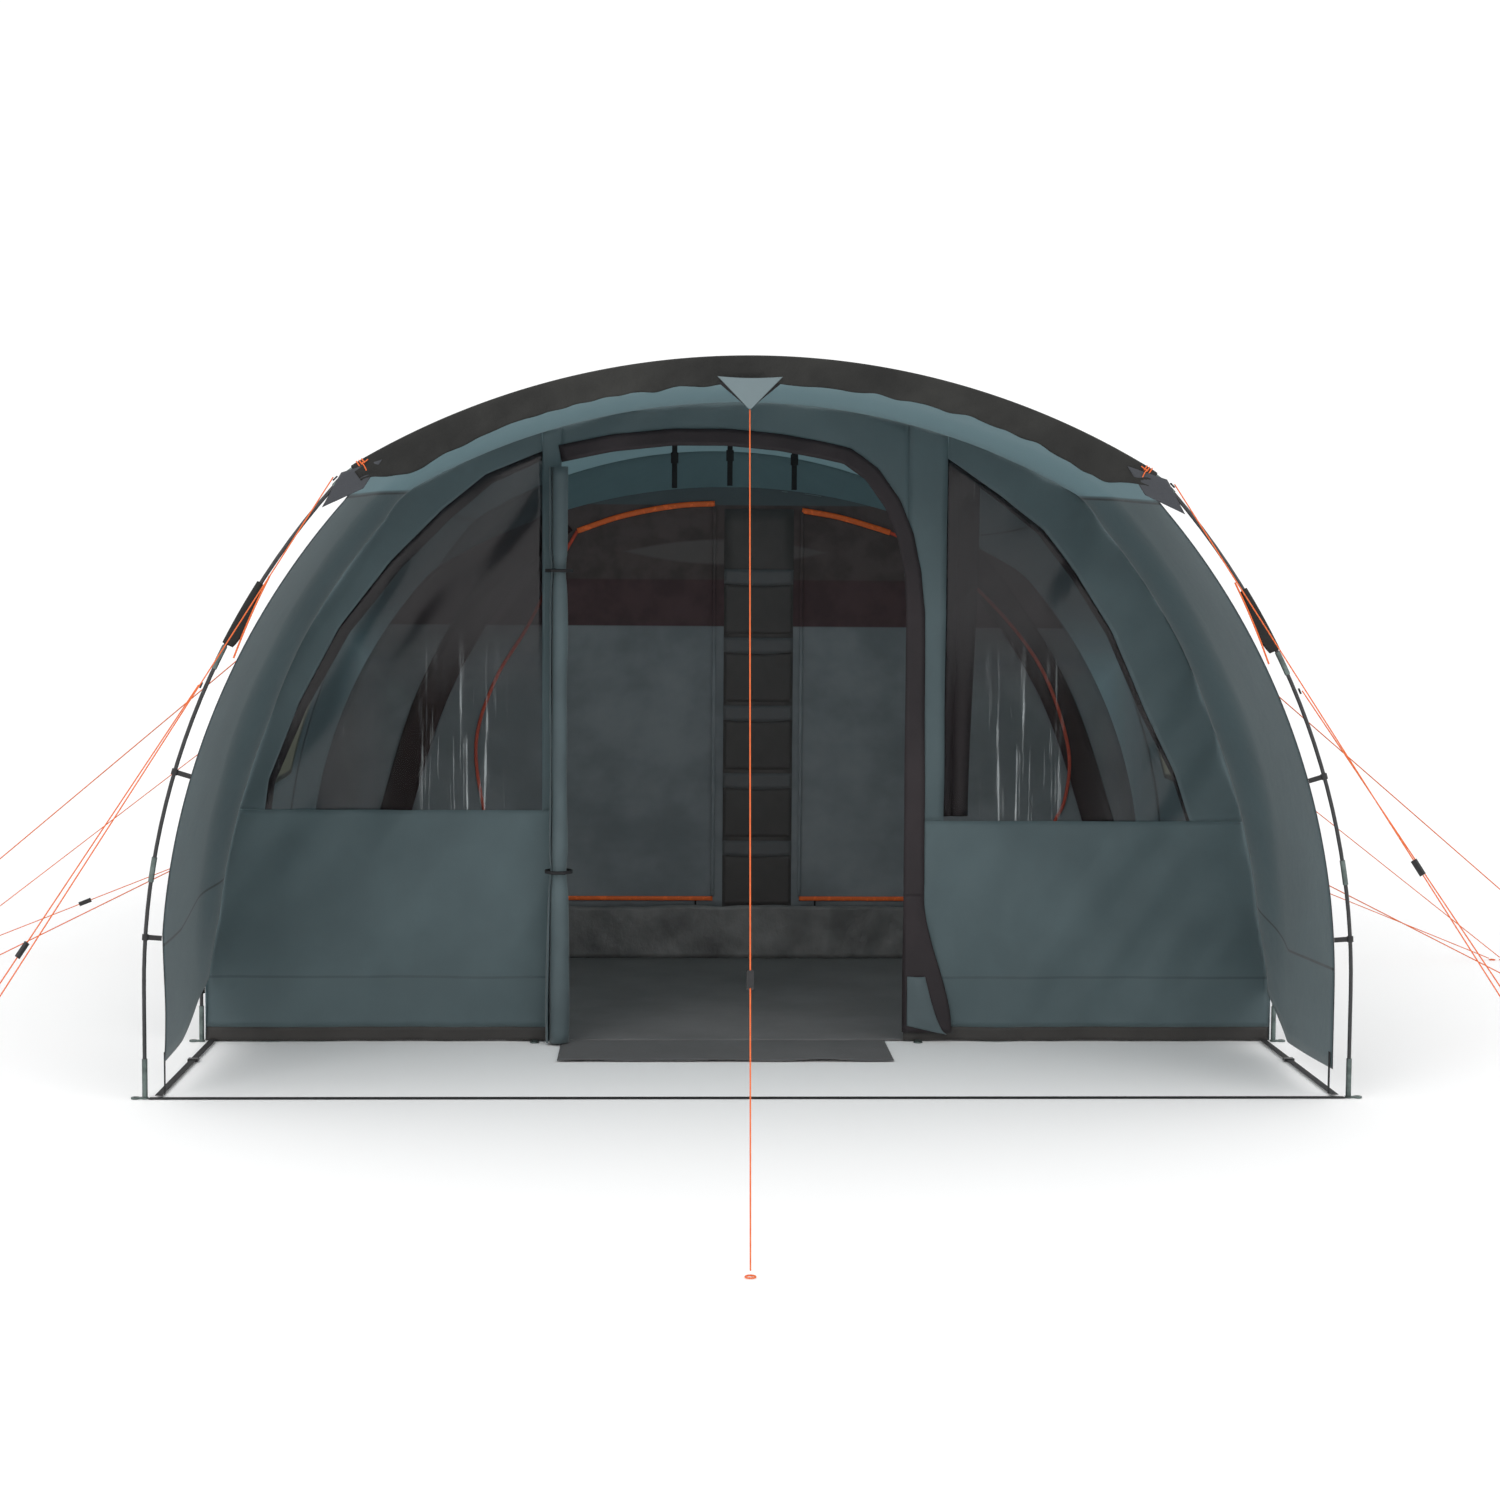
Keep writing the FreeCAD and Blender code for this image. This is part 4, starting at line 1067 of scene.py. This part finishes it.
def pole_sleeve(name, y, material):
    """Cloth sleeve wrapped round one body pole, open above both its feet."""
    start, stop = SLEEVE_FOOT, OUTER.length - SLEEVE_FOOT

    def place(u, v):
        travel = mix(start, stop, u)
        out = OUTER.out(travel)
        angle = 2 * math.pi * v
        radius = SLEEVE_R * (1 + 0.05 * ripple(travel, v * 6, 70, 0.05, 2.0))
        return (OUTER.point(travel, y) + out * math.cos(angle) * radius
                + Vector((0, math.sin(angle) * radius, 0)))
    cloth_piece(name, place, int((stop - start) / 0.02), 12, material, "dark_cloth",
                replaced=("body_sleeves",))


def arch_tape(material):
    """Hanging tape under the middle arch, which the bedroom's straps hook on to."""
    def place(u, v):
        travel = mix(0.34, 0.66, u) * OUTER.length
        return OUTER.point(travel, MIDDLE_Y - 0.006, FLY_DROP + 0.003 + 0.016 * v)
    cloth_piece("middle_arch_tape", place, 60, 3, material, "dark_cloth")


def side_sleeves(material):
    """Short black sleeves with a flat tail that reaches in to the wing's edge."""
    for side, word in SIDES:
        def place(u, v, side=side):
            travel = mix(*SIDE_SLEEVE_SPAN, u)
            out = OUTER.out(travel)
            centre = OUTER.point(travel, FRONT_Y)
            if v < SIDE_SLEEVE_OVER:
                spot = round_pole(centre, out, mix(-120, 90, v / SIDE_SLEEVE_OVER), SLEEVE_R)
            else:
                hang = (v - SIDE_SLEEVE_OVER) / (1 - SIDE_SLEEVE_OVER)
                reach = mix(0.034, 0.016, u) * mix(1.0, 0.6, abs(2 * u - 1) ** 3)
                spot = centre - out * hang * reach - Vector((0, SLEEVE_R * (1 - 0.9 * hang), 0))
                spot.y += ripple(travel, hang, 75, 0.03, 0.8) * 0.003
            return on_side(side, spot)
        cloth_piece("side_sleeve_" + word, place, 34, 16, material, "dark_cloth", replaced=("side_sleeves",))


# ---- inner tent and floors ----------------------------------------------------------
def inner_front(material):
    """Front of the bedroom; its folds all lie behind its plane, clear of the zip sliders."""
    def place(u, v):
        z = mix(TUB_HEIGHT, INNER_HEIGHT - 0.001, math.sin(v * math.pi / 2))
        half = INNER.half_width_at(z)
        x = mix(-half, half, u)
        folds = ripple(x, z, 80, 0.09, 0.9) * 0.004 + ripple(x, z, 81, 0.4, 0.5) * 0.008
        return Vector((x, INNER_Y + 0.001 + max(0.0, folds), z))
    cloth_piece("bedroom_front_cloth", place, 120, 70, material, "inner_cloth",
                replaced=("inner_front_wall",))


def inner_shell(material):
    """Roof, sides and back of the bedroom."""
    def place(u, v):
        travel = mix(TUB_HEIGHT, INNER.length - TUB_HEIGHT, u)
        y = mix(INNER_Y + 0.003, INNER_REAR_Y - 0.002, v)
        sag = 0.030 * 4 * v * (1 - v) + ripple(travel, v, 85, 0.2, 0.4) * 0.005 + 0.005
        return INNER.point(travel, y, sag)
    cloth_piece("bedroom_shell_cloth", place, 90, 24, material, "inner_cloth", replaced=("inner_body",))

    def back(u, v):
        z = mix(TUB_HEIGHT, INNER_HEIGHT - 0.006, math.sin(v * math.pi / 2))
        half = INNER.half_width_at(z, 0.005)
        return Vector((mix(-half, half, u), INNER_REAR_Y - 0.001 + ripple(u, v, 88, 0.2, 0.3) * 0.001, z))
    cloth_piece("bedroom_back_cloth", back, 40, 30, material, "inner_cloth")


def tub_front(material):
    """Crumpled front wall of the bedroom's floor tub, standing just before it."""
    half = INNER_HALF_WIDTH - 0.03

    def place(u, v):
        x = mix(-half, half, u)
        z = 0.004 + (TUB_HEIGHT + 0.008) * v
        crumple = ripple(x, z, 90, 0.07, 0.10) * 0.007 + ripple(x + z, z, 91, 0.025, 0.08) * 0.003
        top = 0.006 * ripple(x, 0, 92, 0.12, 1.0)
        return Vector((x, INNER_Y - 0.011 + crumple, z + top * v))
    cloth_piece("tub_front_skirt", place, 240, 12, material, "floor_sheet")


def through(points, share):
    """Point and unit side direction on a smooth line through given X and Z points."""
    i, t = segment(points, share)
    a, b, c, d = [Vector(points[min(max(k, 0), len(points) - 1)]) for k in range(i - 1, i + 3)]
    spot = 0.5 * ((2 * b) + (c - a) * t + (2 * a - 5 * b + 4 * c - d) * t * t
                  + (3 * b - a - 3 * c + d) * t ** 3)
    heading = ((c - a) + (4 * a - 10 * b + 8 * c - 2 * d) * t
               + 3 * (3 * b - a - 3 * c + d) * t * t).normalized()
    return spot, Vector((heading.y, -heading.x))


def tape(name, points, width, y, columns, material, slot, replaced=()):
    """Narrow sewn strip along a smooth line, facing the front."""
    def place(u, v):
        spot, side = through(points, u)
        spot = spot + side * width * (v - 0.5)
        return Vector((spot.x, y - 0.0012 * math.sin(math.pi * v), spot.y))
    cloth_piece(name, place, columns, 4, material, slot, replaced=replaced)


ZIP_LIFT = 0.009
ZIP_FOOT_Z = 0.230
LEFT_UPRIGHT_X, RIGHT_UPRIGHT_X = -0.056, 0.270
LEFT_ZIP_TOP = [(-0.566, 1.604), (-0.420, 1.655), (-0.285, 1.686), (-0.170, 1.703), (LEFT_UPRIGHT_X, 1.709)]
LEFT_ZIP_FOOT = [(x, ZIP_FOOT_Z) for x in (LEFT_UPRIGHT_X, -0.30, -0.50, -0.70)]
LEFT_ZIP_BOW = [LEFT_ZIP_FOOT[-1], (-0.84, 0.30), (-0.915, 0.573), (-0.941, 0.82), (-0.87, 1.05),
                (-0.75, 1.25), (-0.63, 1.49), LEFT_ZIP_TOP[0]]
RIGHT_ZIP_TOP = [(RIGHT_UPRIGHT_X, 1.686), (0.40, 1.664), (0.524, 1.630), (0.600, 1.606)]
RIGHT_ZIP_FOOT = [(x, ZIP_FOOT_Z) for x in (RIGHT_UPRIGHT_X, 0.45, 0.65)] + [(0.85, 0.232)]
RIGHT_ZIP_BOW = [RIGHT_ZIP_FOOT[-1], (1.04, 0.250), (1.18, 0.35), (1.232, 0.517), (1.273, 0.614),
                 (1.284, 0.787), (1.217, 1.015), (1.12, 1.188), (0.958, 1.371), (0.78, 1.52),
                 RIGHT_ZIP_TOP[-1]]


def bedroom_zips(coil, bow, cover):
    """Orange zips round both bedroom doors; a cloth flap covers each upright side."""
    y = INNER_Y - ZIP_LIFT
    lines = (("left_top", LEFT_ZIP_TOP, 0.020, coil), ("left_bow", LEFT_ZIP_BOW, 0.012, bow),
             ("left_foot", LEFT_ZIP_FOOT, 0.016, coil), ("right_foot", RIGHT_ZIP_FOOT, 0.016, coil),
             ("right_top", RIGHT_ZIP_TOP, 0.020, coil), ("right_bow", RIGHT_ZIP_BOW, 0.012, bow),
             ("left_upright", [(LEFT_UPRIGHT_X, z) for z in (0.24, 0.9, 1.70)], 0.012, cover),
             ("right_upright", [(RIGHT_UPRIGHT_X, z) for z in (0.24, 0.9, 1.68)], 0.012, cover))
    for word, points, width, material in lines:
        tape("bedroom_zip_" + word, points, width, y, 12 * (len(points) - 1), material, "zip_orange",
             replaced=("bedroom_zips",))


BORDER_LINE = [(1.33, 0.20), (1.237, 0.573), (1.117, 0.959), (0.967, 1.259), (0.799, 1.502), (0.62, 1.65)]


def inner_border(material):
    """Broad dark tape up each side of the bedroom front, leaning in towards the roof."""
    for (side, word), out in zip(SIDES, (1.0, 1.12)):
        line = [(side * x * out, z) for x, z in BORDER_LINE]
        tape("bedroom_border_" + word, line, 0.115, INNER_Y - 0.007, 50, material, "inner_cloth")


POCKETS = 5
POCKET_PITCH, POCKET_DEPTH, POCKET_TOP_Z = 0.2545, 0.185, 0.393


def organiser(cloth, band):
    """Hanging organiser: slack pockets, each with a paler elastic band at its mouth."""
    low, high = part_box("organiser")

    def back(u, v):
        return Vector((mix(low[0], high[0], u), high[1] - 0.001, mix(low[2], high[2], v)))
    cloth_piece("organiser_back", back, 6, 30, cloth, "inner_cloth", replaced=("organiser",))
    for i in range(POCKETS):
        top = min(POCKET_TOP_Z + POCKET_PITCH * i, high[2] - 0.03)
        foot = top - POCKET_DEPTH

        def pocket(u, v, foot=foot, top=top, i=i):
            slack = math.sin(math.pi * u) ** 0.7 * mix(0.35, 1.0, ease(v, 0.0, 0.4))
            belly = 0.006 * slack + ripple(u, v, 95 + i, 0.3, 0.4) * 0.0012
            sag = 0.006 * math.sin(math.pi * u) * v
            return Vector((mix(low[0] + 0.004, high[0] - 0.004, u), high[1] - 0.0015 - belly,
                           mix(foot, top, v) - sag))
        cloth_piece("organiser_pocket_%d" % (i + 1), pocket, 24, 14, cloth, "inner_cloth")

        def mouth(u, v, top=top):
            slack = math.sin(math.pi * u) ** 0.7
            sag = 0.006 * math.sin(math.pi * u)
            return Vector((mix(low[0], high[0], u), high[1] - 0.003 - 0.006 * slack,
                           top + 0.055 * v - sag * (1 - v)))
        cloth_piece("organiser_band_%d" % (i + 1), mouth, 20, 4, band, "inner_cloth")


def floor_pieces(sheet, sill):
    """Groundsheet laid in the living room, and the threshold flap laid before the door."""
    low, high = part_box("groundsheet")

    def ground(u, v):
        x, y = mix(low[0], high[0], u), mix(low[1], high[1], v)
        return Vector((x, y, 0.0018 + 0.0009 * (1 + ripple(x, y, 110, 0.2, 0.2))))
    cloth_piece("groundsheet_cloth", ground, 90, 50, sheet, "floor_sheet", held="laid",
                replaced=("groundsheet",))
    flap_low, flap_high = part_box("threshold_flap")

    def flap(u, v):
        x, y = mix(flap_low[0], flap_high[0], u), mix(flap_low[1], flap_high[1], v)
        wave = 0.0016 * (1 + ripple(x, y, 112, 0.10, 0.16))
        lip = 0.006 * ease(0.12 - v, 0.0, 0.12) * (0.5 + ripple(x, 0, 113, 0.15, 1.0))
        return Vector((x, y, 0.0012 + wave + max(0.0, lip)))
    cloth_piece("threshold_flap_cloth", flap, 80, 30, sill, "floor_sheet", held="laid",
                replaced=("threshold_flap",))


# ---- guylines -----------------------------------------------------------------------
CORD_R = 0.00175
PEG_LOOP_R = 0.014
CORD_LEAD = 0.021
TIE_LIFT = 0.0005 + 0.003 + 0.005
FRONT_TIE = (-0.020, FRONT_Y - 0.016, 1.885)
FRONT_PEG = (-0.070, FRONT_Y - 1.750, CORD_R)
# pole's Y, share of its length up to the tie, and the peg's X and Y
SIDE_GUYLINES = {
    "front_upper": (FRONT_Y, 0.3015, HALF_WIDTH + 0.490, FRONT_Y - 0.500),
    "front_lower": (FRONT_Y, 0.1910, HALF_WIDTH + 0.520, FRONT_Y - 0.500),
    "door_upper": (DOOR_Y, 0.2126, HALF_WIDTH + 1.270, DOOR_Y),
    "door_lower": (DOOR_Y, 0.0947, HALF_WIDTH + 1.140, DOOR_Y),
    "middle_upper": (MIDDLE_Y, 0.1893, HALF_WIDTH + 1.300, MIDDLE_Y),
    "middle_lower": (MIDDLE_Y, 0.0830, HALF_WIDTH + 1.260, MIDDLE_Y),
}


def guyline(name, tie, peg, material):
    """Taut cord from its tie to the loop at its peg; the ends keep straight leads."""
    tie, peg = Vector(tie), Vector(peg)
    way = (peg - tie).normalized()
    start, stop = tie + way * CORD_R, peg - way * PEG_LOOP_R
    route = [start, start + way * CORD_LEAD, stop - way * CORD_LEAD, stop]
    piece = round_line(name + "_cord", route, CORD_R, 3)
    finished(piece, material, replaced=(name,))
    tuple(start)
    (stop - start).length


def guylines(material):
    """The front guyline and six more on each side."""
    guyline("front_guyline", FRONT_TIE, FRONT_PEG, material)
    for side, word in SIDES:
        for name, (y, share, peg_x, peg_y) in SIDE_GUYLINES.items():
            travel = share * OUTER.length
            out = OUTER.out(travel)
            tie = on_side(side, OUTER.point(travel, y) + out * (SLEEVE_R + TIE_LIFT))
            guyline("%s_%s_guyline" % (word, name), tie, (side * peg_x, peg_y, CORD_R), material)


# ---- stage --------------------------------------------------------------------------
EYE_HEIGHT = 1.423
EYE_X = -0.265
EYE_BACK = 6.70
LENS = 59.07
PITCH = math.radians(3.93)
YAW = math.radians(2.13)
ROLL = math.radians(0.4)
SKY_STRENGTH = 1.08
LAMP_SIZE = 5.0
LAMP_AIM = (0, -1.5, 1.0)


def camera():
    """Eye at chest height, a little left of the middle and turned slightly to the right."""
    data = bpy.data.cameras.new("view")
    data.lens = LENS
    data.sensor_width = 36.0
    data.clip_end = 200.0
    eye = bpy.data.objects.new("view", data)
    bpy.context.scene.collection.objects.link(eye)
    eye.location = (EYE_X, FRONT_Y - EYE_BACK, EYE_HEIGHT)
    eye.rotation_euler = (math.pi / 2 - PITCH, -ROLL, -YAW)
    bpy.context.scene.camera = eye


def soft_light(name, place, power):
    """Round soft lamp turned towards the porch."""
    data = bpy.data.lights.new(name, "AREA")
    data.shape = "DISK"
    data.size = LAMP_SIZE
    data.energy = power
    lamp = bpy.data.objects.new(name, data)
    bpy.context.scene.collection.objects.link(lamp)
    lamp.location = place
    lamp.rotation_mode = "QUATERNION"
    lamp.rotation_quaternion = (Vector(LAMP_AIM) - Vector(place)).to_track_quat("-Z", "Y")


def studio():
    """White floor and sky with two soft lamps."""
    deselect()
    bpy.ops.mesh.primitive_plane_add(size=120.0, location=(0, 0, -0.001))
    floor = bpy.context.active_object
    floor.name = "studio_floor"
    pale = Finish("studio_floor")
    pale.shade(Base_Color=(1.0, 1.0, 1.0, 1.0), Roughness=0.9)
    floor.data.materials.append(pale.material)
    world = bpy.data.worlds.new("studio")
    bpy.context.scene.world = world
    world.use_nodes = True
    sky = world.node_tree.nodes["Background"]
    sky.inputs[0].default_value = (1.0, 1.0, 1.0, 1.0)
    sky.inputs[1].default_value = SKY_STRENGTH
    soft_light("key", (-4.5, -9.0, 6.0), 150.0)
    soft_light("fill", (6.0, -8.0, 4.0), 60.0)
    bpy.context.scene.view_settings.view_transform = "Standard"


# ---- putting it together ------------------------------------------------------------
def refinish(material, *nodes):
    """Give CAD nodes that keep their shape a better material."""
    for node in nodes:
        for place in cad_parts[node].material_slots:
            place.material = material


def hardware(orange):
    """Poles, metal, plastic and webbing keep their CAD shapes and get their finishes."""
    refinish(rod_finish(), "front_pole", "door_pole", "middle_pole", "rear_pole")
    refinish(metal_finish("joint_steel", rgb(112, 124, 121), 0.42),
             "pole_ferrules", "pole_feet", "foot_pins", "hem_rings")
    refinish(plastic_finish("black_plastic", rgb(22, 22, 24), 0.42),
             "pole_clips", "left_strap_buckle", "right_strap_buckle", "front_runner", "left_front_runner",
             "right_front_runner", "left_middle_runner", "right_middle_runner")
    refinish(metal_finish("zip_lacquer", rgb(30, 30, 32), 0.35),
             "door_zip_slider", "left_bedroom_zip_slider", "right_bedroom_zip_slider")
    refinish(webbing_finish("black_webbing", rgb(24, 24, 26)),
             "corner_straps", "ground_strap", "inner_hangers", "guy_anchors", "door_toggles")
    refinish(webbing_finish("elastic", rgb(40, 40, 42), 0.0016), "shock_cords")
    refinish(orange, "peg_loops")


def orange_parts(orange):
    """Guylines, the knots at the hood's ends and the piping of the side sleeves."""
    guylines(orange)
    knots(orange)
    sleeve_piping(orange)


def fly(wall):
    """Fly cloth over the porch and both rooms, and the rear wall."""
    body = fly_finish("body_cloth", rgb(86, 104, 109), rgb(77, 94, 99),
                      seams=(SHOULDER_AT, OUTER.length - SHOULDER_AT), share=0.5)
    porch_canopy(canopy_finish())
    living_fly(body)
    bedroom_fly(body)
    rear_wall(wall)


def front(wall):
    """Front wall with its door, windows and curtain."""
    binding = plain_cloth("door_band_cloth", rgb(46, 39, 42), rgb(34, 29, 32), sheen=0.05, gloss=0.3)
    curtain = plain_cloth("curtain_cloth", rgb(38, 32, 34), rgb(27, 23, 25), sheen=0.0, gloss=0.2)
    leaf = fly_finish("door_cloth", rgb(92, 108, 112), rgb(74, 88, 92), share=0.2)
    front_wall(wall, plain_cloth("mud_flap_cloth", rgb(50, 47, 44), rgb(34, 32, 30)))
    door_binding(binding)
    door_foot_flap(binding, leaf)
    front_windows(clear_finish())
    window_bindings(curtain)
    window_curtain(curtain)
    rolled_door(leaf)


def sleeves():
    """Hood, its corners, and the sleeves and tape along the arches."""
    # painted highlights: the wide span between the sleeve cloth's light and dark tones stands in for the
    # highlights on its wrinkles
    dark = plain_cloth("sleeve_cloth", rgb(46, 46, 44), rgb(26, 26, 25), crease=0.040, sheen=0.0, gloss=0.25)
    hood(dark)
    hood_corners(plain_cloth("corner_cloth", rgb(58, 61, 67), rgb(46, 49, 55)))
    side_sleeves(dark)
    arch_tape(dark)
    for word, y in (("door", DOOR_Y), ("middle", MIDDLE_Y), ("rear", REAR_Y)):
        pole_sleeve(word + "_sleeve_cloth", y, dark)


def bedroom():
    """Inner tent with its floor tub, organiser and zips, and the floors before it."""
    wall = inner_finish()
    tub = plain_cloth("tub_cloth", rgb(128, 127, 126), rgb(88, 87, 87), pitch=0.003, crease=0.020, rough=0.45)
    floor = plain_cloth("floor_cloth", rgb(108, 107, 108), rgb(92, 91, 92), pitch=0.003, crease=0.004,
                        sheen=0.1)
    sill = plain_cloth("threshold_cloth", rgb(92, 92, 93), rgb(78, 78, 79), pitch=0.003, sheen=0.1)
    inner_front(wall)
    inner_shell(fly_finish("bedroom_cloth", rgb(120, 130, 132), rgb(102, 112, 115)))
    tub_front(tub)
    refinish(tub, "inner_tub")
    organiser(plain_cloth("pocket_cloth", rgb(78, 73, 72), rgb(63, 59, 58)),
              plain_cloth("pocket_band", rgb(98, 98, 100), rgb(84, 84, 86)))
    floor_pieces(floor, sill)
    inner_border(plain_cloth("border_cloth", rgb(50, 35, 35), rgb(38, 27, 27), sheen=0.0, gloss=0.2))
    bedroom_zips(plastic_finish("zip_orange", rgb(236, 104, 38), 0.5, 300.0),
                 plastic_finish("zip_bow", rgb(190, 66, 40), 0.5, 300.0), wall)


def tent():
    """The whole tent, part by part."""
    orange = cord_finish("orange_cord", rgb(222, 92, 34), rgb(244, 150, 84))
    wall = fly_finish("wall_cloth", rgb(90, 107, 111), rgb(77, 93, 97), level=0.200, share=0.3)
    hardware(orange)
    orange_parts(orange)
    fly(wall)
    front(wall)
    sleeves()
    bedroom()
    front_patch(plain_cloth("patch_cloth", rgb(109, 125, 129), rgb(99, 114, 118)))
    side_windows(tinted_finish())


camera()
tent()
studio()
